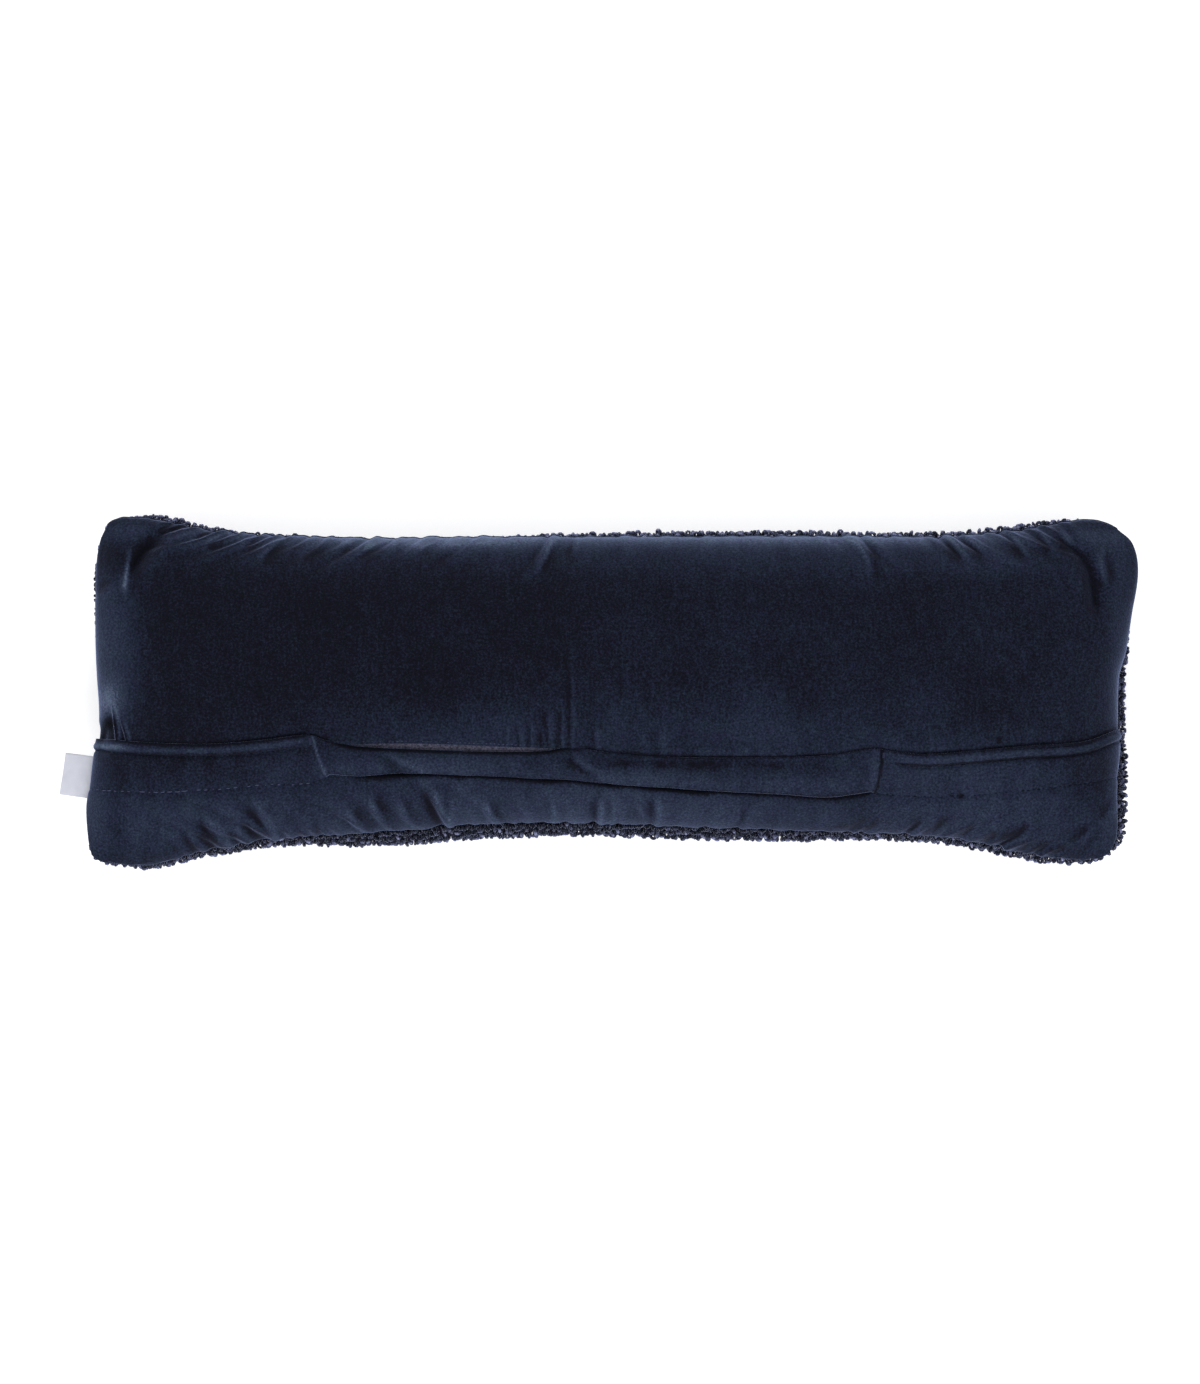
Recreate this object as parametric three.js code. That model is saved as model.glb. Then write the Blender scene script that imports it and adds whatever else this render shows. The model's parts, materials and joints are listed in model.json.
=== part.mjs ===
// Long hooked lumbar pillow, lying on its hooked front with the velvet back up.
// Millimetres, +Z up. The origin is the middle of the flat spot that it rests on,
// +X runs along the pillow and +Y points to the far long edge.

import * as THREE from 'three';

// Overall form
const SEAM_HEIGHT = 37;      // seam above the resting plane, halfway along an edge
const CROWN_RISE = 44;       // filling above the seam at the middle
const BELLY_DROP = 43;       // hooked face below the seam, before the plane flattens it
const CROWN_POWER = 0.56;    // 0.5 is an ellipse across the pillow, 1 a lens
const BELLY_POWER = 0.5;
const END_ROUNDING = 6;      // higher keeps the crown full nearer to the ends

// Cloth
const GAP = 0.3;             // between pieces that touch
const SHEET = 1.2;           // velvet with its lining of pile
const SEAM_INSET = 1.3;      // filling ends this far inside the edge of the velvet
const LAP_CLEAR = 2.4;       // lap above the filling, with the upper panel or tape below it
const LAP_ROLL = 0.8;        // rolled look of the lap above its edge stitch
const HIDDEN_SHEET = 1.0;    // upper panel where the lap hides it
const GATHER_MEAN = 0.7;     // mean height of the gathers
const GATHER_MOST = 1.8;
const EDGE_STITCH = 5;       // lap's edge stitch below its fold
const HEM_STEP = 2;          // steep foot of the lap above the hem stitch
const STEEPEST = 1.6;        // slope at which cloth thickness is laid on at the seam

// Zip tape
const TAPE = 1.0;
const TAPE_BACK = 0.4;
const OPENING = { left: -172, right: 152 };

// Lattice of the pillow's top: coarse for hidden faces, twice as fine for shown ones
const COLUMNS = 48;
const END_CROWDING = 0.05;

// Rows of the lattice from the near seam to the far one
const ROW = { nearSeam: 0, hem: 3, foot: 4, band: 5, edgeStitch: 6, lap: 7, panelEdge: 8, farSeam: 14 };
const ROWS = ROW.farSeam;

// The seam as seen from above: where it runs, and how far the looped rim stands past it
const FAR_EDGE = [
  { at: -295.5, seam: 94.2, rim: 1.2 },
  { at: -291, seam: 97.6, rim: 1.2 },
  { at: -283, seam: 99.4, rim: 2.5 },
  { at: -264, seam: 96.9, rim: 4.5 },
  { at: -237, seam: 90.8, rim: 4 },
  { at: -196, seam: 87.9, rim: 3 },
  { at: -120, seam: 87, rim: 2 },
  { at: -20, seam: 87, rim: 3.5 },
  { at: 90, seam: 87.2, rim: 4.5 },
  { at: 188, seam: 87.2, rim: 4.2 },
  { at: 229, seam: 90.2, rim: 4 },
  { at: 262, seam: 95.4, rim: 3.5 },
  { at: 273, seam: 97, rim: 2 },
  { at: 284, seam: 96, rim: 1 },
  { at: 292.3, seam: 92.2, rim: 0.8 },
];
const NEAR_EDGE = [
  { at: -302.5, seam: -94, rim: 1.2 },
  { at: -298, seam: -98, rim: 1.4 },
  { at: -288, seam: -99.8, rim: 2 },
  { at: -268, seam: -100, rim: 3.2 },
  { at: -240, seam: -93.5, rim: 3.5 },
  { at: -199, seam: -86.2, rim: 4.2 },
  { at: -148, seam: -82.3, rim: 7 },
  { at: -95, seam: -78, rim: 9 },
  { at: -20, seam: -76.3, rim: 8.5 },
  { at: 55, seam: -78.9, rim: 7.5 },
  { at: 136, seam: -81.8, rim: 4.8 },
  { at: 198, seam: -85.3, rim: 4.4 },
  { at: 236, seam: -93.4, rim: 3.8 },
  { at: 266, seam: -97.4, rim: 3.2 },
  { at: 279, seam: -97, rim: 2.5 },
  { at: 286.3, seam: -93.2, rim: 2.5 },
];
const LEFT_EDGE = [
  { at: -94, seam: -302.5, rim: 1.2 },
  { at: -86, seam: -304.6, rim: 1 },
  { at: -68, seam: -305.8, rim: 0.8 },
  { at: -52, seam: -303.6, rim: 1 },
  { at: -29, seam: -300.2, rim: 1.6 },
  { at: 30, seam: -300.4, rim: 1.8 },
  { at: 70, seam: -300.4, rim: 2.4 },
  { at: 86, seam: -299, rim: 1.6 },
  { at: 94.2, seam: -295.5, rim: 1.2 },
];
const RIGHT_EDGE = [
  { at: -93.2, seam: 286.3, rim: 2.5 },
  { at: -84, seam: 289.4, rim: 3.6 },
  { at: -60, seam: 289.5, rim: 6 },
  { at: -42, seam: 290.4, rim: 5.6 },
  { at: -18, seam: 289.6, rim: 5 },
  { at: 8, seam: 290.8, rim: 3.4 },
  { at: 22, seam: 295, rim: 1.8 },
  { at: 44, seam: 298.5, rim: 0.8 },
  { at: 68, seam: 302.7, rim: 0.6 },
  { at: 84, seam: 300.2, rim: 0.6 },
  { at: 92.2, seam: 292.3, rim: 0.8 },
];

// The placket: top fold of the lap, line of the hem stitch, how far the lap puffs
// out between them, and how much zip tape shows above the fold
const PLACKET = [
  { at: -300, fold: -29.3, hem: -58.3, puff: 0, tape: 0.8 },
  { at: -266, fold: -32.3, hem: -59.7, puff: 0.3, tape: 0.8 },
  { at: -231, fold: -33.2, hem: -58.3, puff: 0.4, tape: 0.8 },
  { at: -200, fold: -31, hem: -55.6, puff: 0.3, tape: 0.8 },
  { at: -175, fold: -28.2, hem: -54.6, puff: 0, tape: 0.8 },
  { at: -165, fold: -31, hem: -52, puff: 2.5, tape: 0.8 },
  { at: -147, fold: -34.2, hem: -52.2, puff: 4.5, tape: 1 },
  { at: -120, fold: -35.5, hem: -50.2, puff: 6, tape: 3.6 },
  { at: -95, fold: -36.3, hem: -50.5, puff: 7, tape: 4.3 },
  { at: -66, fold: -37, hem: -51.2, puff: 6.5, tape: 3.9 },
  { at: -40, fold: -36.6, hem: -52.7, puff: 6, tape: 2 },
  { at: -27, fold: -34.8, hem: -53, puff: 7, tape: 0.8 },
  { at: 0, fold: -38, hem: -56, puff: 6, tape: 0.8 },
  { at: 40, fold: -40.4, hem: -59.4, puff: 4, tape: 0.8 },
  { at: 91, fold: -40.5, hem: -62, puff: 3, tape: 0.8 },
  { at: 122, fold: -39.2, hem: -63.8, puff: 2.8, tape: 0.8 },
  { at: 148, fold: -35.8, hem: -60.6, puff: 2, tape: 0.8 },
  { at: 158, fold: -37.2, hem: -61, puff: 0, tape: 0.8 },
  { at: 177, fold: -38.7, hem: -62, puff: 0.3, tape: 0.8 },
  { at: 205, fold: -36.8, hem: -61.2, puff: 0.3, tape: 0.8 },
  { at: 233, fold: -34.3, hem: -58.8, puff: 0.2, tape: 0.8 },
  { at: 267, fold: -31.5, hem: -55, puff: 0, tape: 0.8 },
  { at: 289, fold: -23.5, hem: -51.2, puff: 0, tape: 0.8 },
];

// Gathers that run in from the long seams: start, sideways lean for each millimetre
// in, length, height and half width
const FAR_GATHERS = [
  { at: -243, lean: -1.5, length: 16, height: 1.5, width: 4 },
  { at: -228, lean: -1.6, length: 20, height: 1.7, width: 4.5 },
  { at: -208, lean: -1.4, length: 18, height: 1.3, width: 4 },
  { at: -186, lean: -1.2, length: 22, height: 1.6, width: 5 },
  { at: -166, lean: -1.1, length: 18, height: 1.2, width: 4 },
  { at: -140, lean: -0.9, length: 20, height: 1.4, width: 4.5 },
  { at: -110, lean: -0.8, length: 18, height: 1.2, width: 4.5 },
  { at: -76, lean: -0.6, length: 20, height: 1.2, width: 5 },
  { at: -37, lean: -0.4, length: 26, height: 1.8, width: 4 },
  { at: 8, lean: 0.1, length: 16, height: 0.9, width: 5 },
  { at: 54, lean: 0.3, length: 16, height: 0.9, width: 5 },
  { at: 98, lean: 0.5, length: 18, height: 1, width: 5 },
  { at: 136, lean: 0.7, length: 24, height: 1.4, width: 5 },
  { at: 166, lean: 0.8, length: 18, height: 1.1, width: 4.5 },
  { at: 198, lean: 0.9, length: 24, height: 1.8, width: 4.5 },
  { at: 229, lean: 1.1, length: 24, height: 1.8, width: 4.5 },
  { at: 249, lean: 1, length: 20, height: 1.5, width: 4 },
];
const NEAR_GATHERS = [
  { at: -227, lean: -1, length: 24, height: 1.5, width: 4.5 },
  { at: -210, lean: -1.1, length: 20, height: 1.2, width: 4 },
  { at: -195, lean: -0.8, length: 28, height: 1.8, width: 5 },
  { at: -172, lean: -0.9, length: 16, height: 1.1, width: 4 },
  { at: -139, lean: -1.1, length: 24, height: 1.5, width: 4.5 },
  { at: -124, lean: -0.7, length: 24, height: 1.5, width: 4 },
  { at: -95, lean: -0.5, length: 30, height: 1.8, width: 5 },
  { at: -66, lean: -0.5, length: 24, height: 1.3, width: 4.5 },
  { at: -36, lean: -0.2, length: 18, height: 1, width: 5 },
  { at: -10, lean: 0, length: 18, height: 1, width: 4.5 },
  { at: 22, lean: 0.1, length: 20, height: 1, width: 4.5 },
  { at: 70, lean: 0.5, length: 16, height: 1.2, width: 5 },
  { at: 118, lean: 0.5, length: 14, height: 0.9, width: 5 },
  { at: 170, lean: 1.2, length: 16, height: 1.2, width: 4.5 },
  { at: 200, lean: 1.4, length: 18, height: 1.3, width: 4.5 },
  { at: 222, lean: 1.6, length: 20, height: 1.4, width: 4.5 },
  { at: 268, lean: 0.9, length: 16, height: 1.1, width: 4.5 },
];

// Larger folds at the corners, pressed into the filling along a bent line
const CORNER_FOLDS = [
  { from: [-254, 93], bend: [-277, 78], to: [-280, 66], depth: 5, width: 7 },
  { from: [268, 84], bend: [276, 70], to: [278, 50], depth: 3.5, width: 6 },
  { from: [-294, -34], bend: [-293, -27], to: [-288, -20], depth: 2.5, width: 6 },
];

// The looped rim: lumps two lattice steps long
const RIM_FALL = { upper: 3, lower: 9 };
const RIM_LUMP = 0.9;
const RIM_UNDER = 0.86;

// Label, folded and sewn into the left seam, tilted with it
const LABEL = { out: 15, height: 24.2, middle: -51.5, tilt: 0.13, thick: 1.1, droop: 2.2, off: 0.5, lift: 0.9 };

const COLOURS = {
  yarn: { color: 0x3d4260, roughness: 1 },
  velvet: { color: 0x1c2438, roughness: 0.9 },
  tape: { color: 0x4a4450, roughness: 0.8 },
  label: { color: 0xe6e6ea, roughness: 0.85 },
};

const clamp = THREE.MathUtils.clamp;
const lerp = THREE.MathUtils.lerp;
const smooth = THREE.MathUtils.smoothstep;

// A column of a table at any place, on a smooth curve through its rows
function read(table, column, place) {
  const last = table.length - 1;
  const at = clamp(place, table[0].at, table[last].at);
  let row = 0;
  while (row < last - 1 && at > table[row + 1].at) row += 1;
  const slope = (k) => {
    const before = table[Math.max(k - 1, 0)];
    const after = table[Math.min(k + 1, last)];
    return (after[column] - before[column]) / (after.at - before.at);
  };
  const [a, b] = [table[row], table[row + 1]];
  const span = b.at - a.at;
  const t = (at - a.at) / span;
  const bulge = t * t * (3 - 2 * t);
  return lerp(a[column], b[column], bulge)
    + span * t * (1 - t) * ((1 - t) * slope(row) - t * slope(row + 1));
}

// How full the pillow is at a point, from 0 on the outline to 1 in the middle
function fullness(x, y, power, reach) {
  const far = read(FAR_EDGE, 'seam', x) + reach * read(FAR_EDGE, 'rim', x);
  const near = read(NEAR_EDGE, 'seam', x) - reach * read(NEAR_EDGE, 'rim', x);
  const left = read(LEFT_EDGE, 'seam', y) - reach * read(LEFT_EDGE, 'rim', y);
  const right = read(RIGHT_EDGE, 'seam', y) + reach * read(RIGHT_EDGE, 'rim', y);
  const across = clamp(Math.abs(2 * y - far - near) / (far - near), 0, 1);
  const along = clamp(Math.abs(2 * x - left - right) / (right - left), 0, 1);
  return (1 - across ** 2) ** power * (1 - along ** END_ROUNDING) ** 0.5;
}

// Distance of a point from a segment, and how far along it the nearest place is
function toSegment(x, y, [ax, ay], [bx, by]) {
  const length = Math.hypot(bx - ax, by - ay);
  const t = clamp(((x - ax) * (bx - ax) + (y - ay) * (by - ay)) / length ** 2, 0, 1);
  return Math.hypot(x - lerp(ax, bx, t), y - lerp(ay, by, t));
}

function cornerFolds(x, y) {
  let depth = 0;
  for (const fold of CORNER_FOLDS) {
    const away = Math.min(toSegment(x, y, fold.from, fold.bend), toSegment(x, y, fold.bend, fold.to));
    depth += fold.depth * Math.exp(-((away / fold.width) ** 2));
  }
  return depth;
}

function fillingTop(x, y) {
  const full = fullness(x, y, CROWN_POWER, 0);
  return SEAM_HEIGHT + CROWN_RISE * full - cornerFolds(x, y) * Math.min(1, 3 * full);
}

function outwards(x, y) {
  const step = 1.5;
  const dx = (fillingTop(x + step, y) - fillingTop(x - step, y)) / (2 * step);
  const dy = (fillingTop(x, y + step) - fillingTop(x, y - step)) / (2 * step);
  const ease = Math.min(1, STEEPEST / Math.max(Math.hypot(dx, dy), 1e-6));
  return new THREE.Vector3(-dx * ease, -dy * ease, 1).normalize();
}

// Height of the gathers above the plain cloth
function gathers(x, y) {
  let height = 0;
  for (const [table, edge, inward] of [[FAR_GATHERS, FAR_EDGE, -1], [NEAR_GATHERS, NEAR_EDGE, 1]]) {
    const depth = inward * (y - read(edge, 'seam', x));
    for (const gather of table) {
      const fade = 1 - smooth(depth, 0.4 * gather.length, 1.2 * gather.length);
      const aside = (x - gather.at - gather.lean * depth) / gather.width;
      height += gather.height * fade * (Math.exp(-aside * aside) - 0.6 * Math.exp(-((aside + 1.6) ** 2)));
    }
  }
  return clamp(GATHER_MEAN + height, 0, GATHER_MOST);
}

// Lattice rows: the placket's own lines, evenly spaced rows below it, and rows that
// crowd towards the far seam above it
function rowPlace(row, x) {
  const near = read(NEAR_EDGE, 'seam', x) + SEAM_INSET;
  const far = read(FAR_EDGE, 'seam', x) - SEAM_INSET;
  const hem = read(PLACKET, 'hem', x);
  const fold = read(PLACKET, 'fold', x);
  const panel = fold + read(PLACKET, 'tape', x);
  const marks = { [ROW.hem]: hem, [ROW.foot]: hem + HEM_STEP, [ROW.lap]: fold, [ROW.panelEdge]: panel };
  marks[ROW.edgeStitch] = fold - EDGE_STITCH;
  marks[ROW.band] = lerp(hem + HEM_STEP, fold - EDGE_STITCH, 0.5);
  const place = (k) => {
    if (k in marks) return marks[k];
    if (k < ROW.hem) return lerp(near, hem, 1 - Math.cos((Math.PI / 2) * (k / ROW.hem)) ** 0.8);
    const climb = (k - ROW.panelEdge) / (ROW.farSeam - ROW.panelEdge);
    return lerp(panel, far, Math.sin((Math.PI / 2) * climb) ** 0.95);
  };
  const whole = Math.floor(row);
  return row === whole ? place(whole) : (place(whole) + place(whole + 1)) / 2;
}

// A lattice point by column and row, halves for the fine lattice
function latticePoint(column, row) {
  const t = column / COLUMNS;
  const share = t - END_CROWDING * Math.sin(2 * Math.PI * t);
  let x = 0;
  let y = 0;
  for (let pass = 0; pass < 6; pass += 1) {
    const left = read(LEFT_EDGE, 'seam', y) + SEAM_INSET;
    const right = read(RIGHT_EDGE, 'seam', y) - SEAM_INSET;
    x = lerp(left, right, share);
    y = rowPlace(row, x);
  }
  return { x, y };
}

const lattice = new Map();
function base(column, row) {
  const key = `${column},${row}`;
  if (!lattice.has(key)) {
    const { x, y } = latticePoint(column, row);
    const out = outwards(x, y);
    lattice.set(key, { point: new THREE.Vector3(x, y, fillingTop(x, y)), out });
  }
  return lattice.get(key);
}

function raised(column, row, height) {
  const { point, out } = base(column, row);
  return point.clone().addScaledVector(out, height);
}

// Collects triangles over named points and closes them into one geometry
class Shell {
  constructor() {
    this.places = [];
    this.numbers = new Map();
    this.faces = [];
  }

  point(key, make) {
    if (!this.numbers.has(key)) {
      this.numbers.set(key, this.places.length / 3);
      this.places.push(...make().toArray());
    }
    return this.numbers.get(key);
  }

  face(a, b, c, flip = false) {
    this.faces.push(...(flip ? [a, c, b] : [a, b, c]));
  }

  quad(a, b, c, d, flip = false) {
    this.face(a, b, c, flip);
    this.face(a, c, d, flip);
  }

  mesh(name, finish) {
    const geometry = new THREE.BufferGeometry();
    geometry.setAttribute('position', new THREE.Float32BufferAttribute(this.places, 3));
    geometry.setIndex(this.faces);
    geometry.computeVertexNormals();
    const mesh = new THREE.Mesh(geometry, new THREE.MeshStandardMaterial({ metalness: 0, ...finish }));
    mesh.name = name;
    return mesh;
  }
}

// A sheet over a set of lattice cells: coarse below, fine above, walled at its edge
function sheet(name, finish, covers, under, over) {
  const shell = new Shell();
  const low = (c, r) => shell.point(`low ${c},${r}`, () => under(c, r));
  const high = (c, r) => shell.point(`high ${c},${r}`, () => over(c, r));
  const wall = (c0, r0, c1, r1) => {
    const [cm, rm] = [(c0 + c1) / 2, (r0 + r1) / 2];
    shell.face(low(c0, r0), low(c1, r1), high(cm, rm));
    shell.face(low(c0, r0), high(cm, rm), high(c0, r0));
    shell.face(low(c1, r1), high(c1, r1), high(cm, rm));
  };
  const held = (c, r) => c >= 0 && c < COLUMNS && r >= 0 && r < ROWS && covers(c, r);
  for (let c = 0; c < COLUMNS; c += 1) {
    for (let r = 0; r < ROWS; r += 1) {
      if (!held(c, r)) continue;
      shell.quad(low(c, r), low(c + 1, r), low(c + 1, r + 1), low(c, r + 1), true);
      for (const [dc, dr] of [[0, 0], [0.5, 0], [0, 0.5], [0.5, 0.5]]) {
        const [fc, fr] = [c + dc, r + dr];
        shell.quad(high(fc, fr), high(fc + 0.5, fr), high(fc + 0.5, fr + 0.5), high(fc, fr + 0.5));
      }
      if (!held(c, r - 1)) wall(c, r, c + 1, r);
      if (!held(c, r + 1)) wall(c + 1, r + 1, c, r + 1);
      if (!held(c - 1, r)) wall(c, r + 1, c, r);
      if (!held(c + 1, r)) wall(c + 1, r, c + 1, r + 1);
    }
  }
  return shell.mesh(name, finish);
}

// Whether a column of cells lies in the open stretch of the placket
function inOpening(column, margin) {
  const start = latticePoint(column, ROW.lap).x;
  const end = latticePoint(column + 1, ROW.lap).x;
  return start > OPENING.left - margin && end < OPENING.right + margin;
}

const OPENING_MARGIN = 14;   // one cell of the lattice, left free beside the tape

function velvetUpper() {
  const covers = (c, r) => r >= ROW.panelEdge
    || (r >= ROW.edgeStitch && !inOpening(c, OPENING_MARGIN));
  const over = (c, r) => {
    if (r <= ROW.lap) return raised(c, r, GAP + HIDDEN_SHEET);
    const { point } = base(c, r);
    const plain = r <= ROW.panelEdge ? 0 : gathers(point.x, point.y);
    return raised(c, r, GAP + SHEET + plain);
  };
  return sheet('velvet_upper', COLOURS.velvet, covers, (c, r) => raised(c, r, GAP), over);
}

// Height of the lower panel's inner face above the filling: it climbs from the hem
// stitch over what lies below the lap, and puffs out between the stitch and the fold
function lapHeight(column, row) {
  const { point } = base(column, row);
  const puff = read(PLACKET, 'puff', point.x);
  if (row <= ROW.hem) return GAP;
  const shares = [
    { at: ROW.hem, climb: 0, puff: 0 },
    { at: ROW.foot, climb: 0.3, puff: 0.8 },
    { at: ROW.band, climb: 0.7, puff: 1 },
    { at: ROW.edgeStitch, climb: 1, puff: 0.45 },
    { at: ROW.lap, climb: 1, puff: 0 },
  ];
  const climb = read(shares, 'climb', row);
  return lerp(GAP, LAP_CLEAR, climb) + puff * read(shares, 'puff', row);
}

function velvetLower() {
  const over = (c, r) => {
    const { point } = base(c, r);
    const roll = r > ROW.edgeStitch && r < ROW.lap ? LAP_ROLL : 0;
    const ease = 1 - smooth(r, ROW.hem - 1, ROW.hem);
    return raised(c, r, lapHeight(c, r) + SHEET + roll + gathers(point.x, point.y) * ease);
  };
  return sheet('velvet_lower', COLOURS.velvet, (c, r) => r < ROW.lap, lapHeightPoint, over);
}

function lapHeightPoint(column, row) {
  return raised(column, row, lapHeight(column, row));
}

function zipTape() {
  const covers = (c, r) => r >= ROW.edgeStitch && r < ROW.panelEdge && inOpening(c, 0);
  const at = (height) => (c, r) => {
    const place = raised(c, r, height);
    if (r === ROW.panelEdge) place.y -= TAPE_BACK;
    return place;
  };
  return sheet('zip_tape', COLOURS.tape, covers, at(GAP), at(GAP + TAPE));
}

// The outline of the lattice, once round from the near left corner, fine steps
function outlineSteps() {
  const steps = [];
  for (let c = 0; c < COLUMNS; c += 0.5) steps.push([c, 0]);
  for (let r = 0; r < ROWS; r += 0.5) steps.push([COLUMNS, r]);
  for (let c = COLUMNS; c > 0; c -= 0.5) steps.push([c, ROWS]);
  for (let r = ROWS; r > 0; r -= 0.5) steps.push([0, r]);
  return steps;
}

function rimReach(column, row, x, y) {
  if (row === 0) return read(NEAR_EDGE, 'rim', x);
  if (row === ROWS) return read(FAR_EDGE, 'rim', x);
  return column === 0 ? read(LEFT_EDGE, 'rim', y) : read(RIGHT_EDGE, 'rim', y);
}

// Hooked front with its filling: a full crown under the velvet, a lumpy looped rim
// and a belly that lies flat where it rests
function hookedFront() {
  const shell = new Shell();
  const top = (c, r) => shell.point(`top ${c},${r}`, () => base(c, r).point);
  const bottom = (c, r) => shell.point(`bottom ${c},${r}`, () => {
    const { point: { x, y } } = base(c, r);
    const drop = BELLY_DROP * fullness(x, y, BELLY_POWER, 1);
    return new THREE.Vector3(x, y, Math.max(0, SEAM_HEIGHT - RIM_FALL.upper - drop));
  });
  for (let c = 0; c < COLUMNS; c += 1) {
    for (let r = 0; r < ROWS; r += 1) {
      shell.quad(top(c, r), top(c + 1, r), top(c + 1, r + 1), top(c, r + 1));
      shell.quad(bottom(c, r), bottom(c + 1, r), bottom(c + 1, r + 1), bottom(c, r + 1), true);
    }
  }
  const steps = outlineSteps();
  const count = steps.length;
  const ring = (fall, share) => steps.map(([c, r], k) => {
    const before = base(...steps[(k + count - 1) % count]).point;
    const after = base(...steps[(k + 1) % count]).point;
    const { x, y } = base(c, r).point;
    const away = new THREE.Vector3(after.y - before.y, before.x - after.x, 0).normalize();
    const lump = RIM_LUMP * (k % 2 ? 1 : -0.3 - 0.5 * Math.sin(1.7 * k)) * share;
    const reach = SEAM_INSET + (rimReach(c, r, x, y) + lump) * share;
    return shell.point(`ring ${fall},${k}`, () => new THREE.Vector3(x, y, SEAM_HEIGHT - fall).addScaledVector(away, reach));
  });
  const upper = ring(RIM_FALL.upper, 1);
  const lower = ring(RIM_FALL.lower, RIM_UNDER);
  for (let k = 0; k < count; k += 1) {
    const next = (k + 1) % count;
    shell.quad(lower[k], lower[next], upper[next], upper[k]);
  }
  for (let k = 0; k < count; k += 2) {
    const [middle, next] = [k + 1, (k + 2) % count];
    const [from, to] = [steps[k], steps[next]];
    shell.face(top(...from), upper[k], upper[middle]);
    shell.face(top(...from), upper[middle], top(...to));
    shell.face(top(...to), upper[middle], upper[next]);
    shell.face(bottom(...from), lower[middle], lower[k]);
    shell.face(bottom(...from), bottom(...to), lower[middle]);
    shell.face(bottom(...to), lower[next], lower[middle]);
  }
  return shell.mesh('hooked_front', COLOURS.yarn);
}

// A woven label on the left seam, its outer end drooping a little
function label() {
  const shell = new Shell();
  const [across, up] = [5, 3];
  const root = read(LEFT_EDGE, 'seam', LABEL.middle) - LABEL.off;
  const corner = (i, j, side) => shell.point(`${i},${j},${side}`, () => {
    const out = (i / across) * LABEL.out;
    const rise = (j / up - 0.5) * LABEL.height;
    const droop = LABEL.droop * (i / across) ** 2;
    const z = SEAM_HEIGHT + LABEL.lift - droop + side * LABEL.thick;
    return new THREE.Vector3(root - out + LABEL.tilt * rise, LABEL.middle + rise + LABEL.tilt * out, z);
  });
  for (let i = 0; i < across; i += 1) {
    for (let j = 0; j < up; j += 1) {
      for (const side of [0, 1]) {
        shell.quad(corner(i, j, side), corner(i + 1, j, side), corner(i + 1, j + 1, side),
          corner(i, j + 1, side), side === 1);
      }
    }
  }
  for (let i = 0; i < across; i += 1) {
    shell.quad(corner(i, 0, 0), corner(i, 0, 1), corner(i + 1, 0, 1), corner(i + 1, 0, 0));
    shell.quad(corner(i + 1, up, 0), corner(i + 1, up, 1), corner(i, up, 1), corner(i, up, 0));
  }
  for (let j = 0; j < up; j += 1) {
    shell.quad(corner(0, j + 1, 0), corner(0, j + 1, 1), corner(0, j, 1), corner(0, j, 0));
    shell.quad(corner(across, j, 0), corner(across, j, 1), corner(across, j + 1, 1), corner(across, j + 1, 0));
  }
  return shell.mesh('label', COLOURS.label);
}

const pillow = new THREE.Group();
pillow.name = 'hooked_throw_pillow';
pillow.add(hookedFront(), velvetUpper(), velvetLower(), zipTape(), label());

export default pillow;
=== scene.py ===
# Long hooked lumbar pillow lying on its hooked front, with its velvet back, lapped
# zip placket, rim of yarn loops and bare label. Tables are in millimetres and MM turns
# them into metres; +X runs along the pillow, +Y to the far long edge and +Z up.
import json
import math

import bpy
import numpy as np
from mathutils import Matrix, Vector

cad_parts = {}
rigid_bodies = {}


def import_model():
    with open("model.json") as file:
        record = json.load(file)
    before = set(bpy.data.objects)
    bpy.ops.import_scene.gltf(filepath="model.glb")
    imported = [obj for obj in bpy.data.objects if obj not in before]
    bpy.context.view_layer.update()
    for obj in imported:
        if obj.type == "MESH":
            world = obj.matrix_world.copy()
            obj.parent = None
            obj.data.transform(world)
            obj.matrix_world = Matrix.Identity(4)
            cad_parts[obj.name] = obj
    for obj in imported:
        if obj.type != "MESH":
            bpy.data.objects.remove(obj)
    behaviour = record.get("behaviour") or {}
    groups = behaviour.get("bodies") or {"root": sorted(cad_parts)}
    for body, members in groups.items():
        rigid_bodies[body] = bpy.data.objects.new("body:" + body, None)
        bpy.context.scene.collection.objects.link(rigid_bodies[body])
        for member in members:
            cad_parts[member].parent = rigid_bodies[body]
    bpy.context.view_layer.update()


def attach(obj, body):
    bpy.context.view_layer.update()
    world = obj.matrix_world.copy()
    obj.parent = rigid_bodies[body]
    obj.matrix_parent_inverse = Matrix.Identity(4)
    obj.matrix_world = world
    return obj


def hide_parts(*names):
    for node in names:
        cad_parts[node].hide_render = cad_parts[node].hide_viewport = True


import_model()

MM = 0.001
random = np.random.default_rng(24)

# Camera: straight above the velvet, leaning a little towards the near edge
PHOTO_HEIGHT = 802.7         # millimetres that the image's long side spans at the seam
LENS = 100.0
SENSOR = 36.0
LEAN = math.radians(3.0)
LOOK_AT = (-8.7, -1.2, 37.0)

# Overall form
SEAM_HEIGHT = 37.0
CROWN_RISE = 44.0
BELLY_DROP = 43.0
CROWN_POWER = 0.56
BELLY_POWER = 0.5
END_ROUNDING = 6
SEAM_INSET = 1.3
FAR_INSET = -0.4             # the velvet bulges a little past its far seam
SEAM_WAVER = 0.45            # how far the near seam strays from its line between stitches
STEEPEST = 1.6

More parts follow.
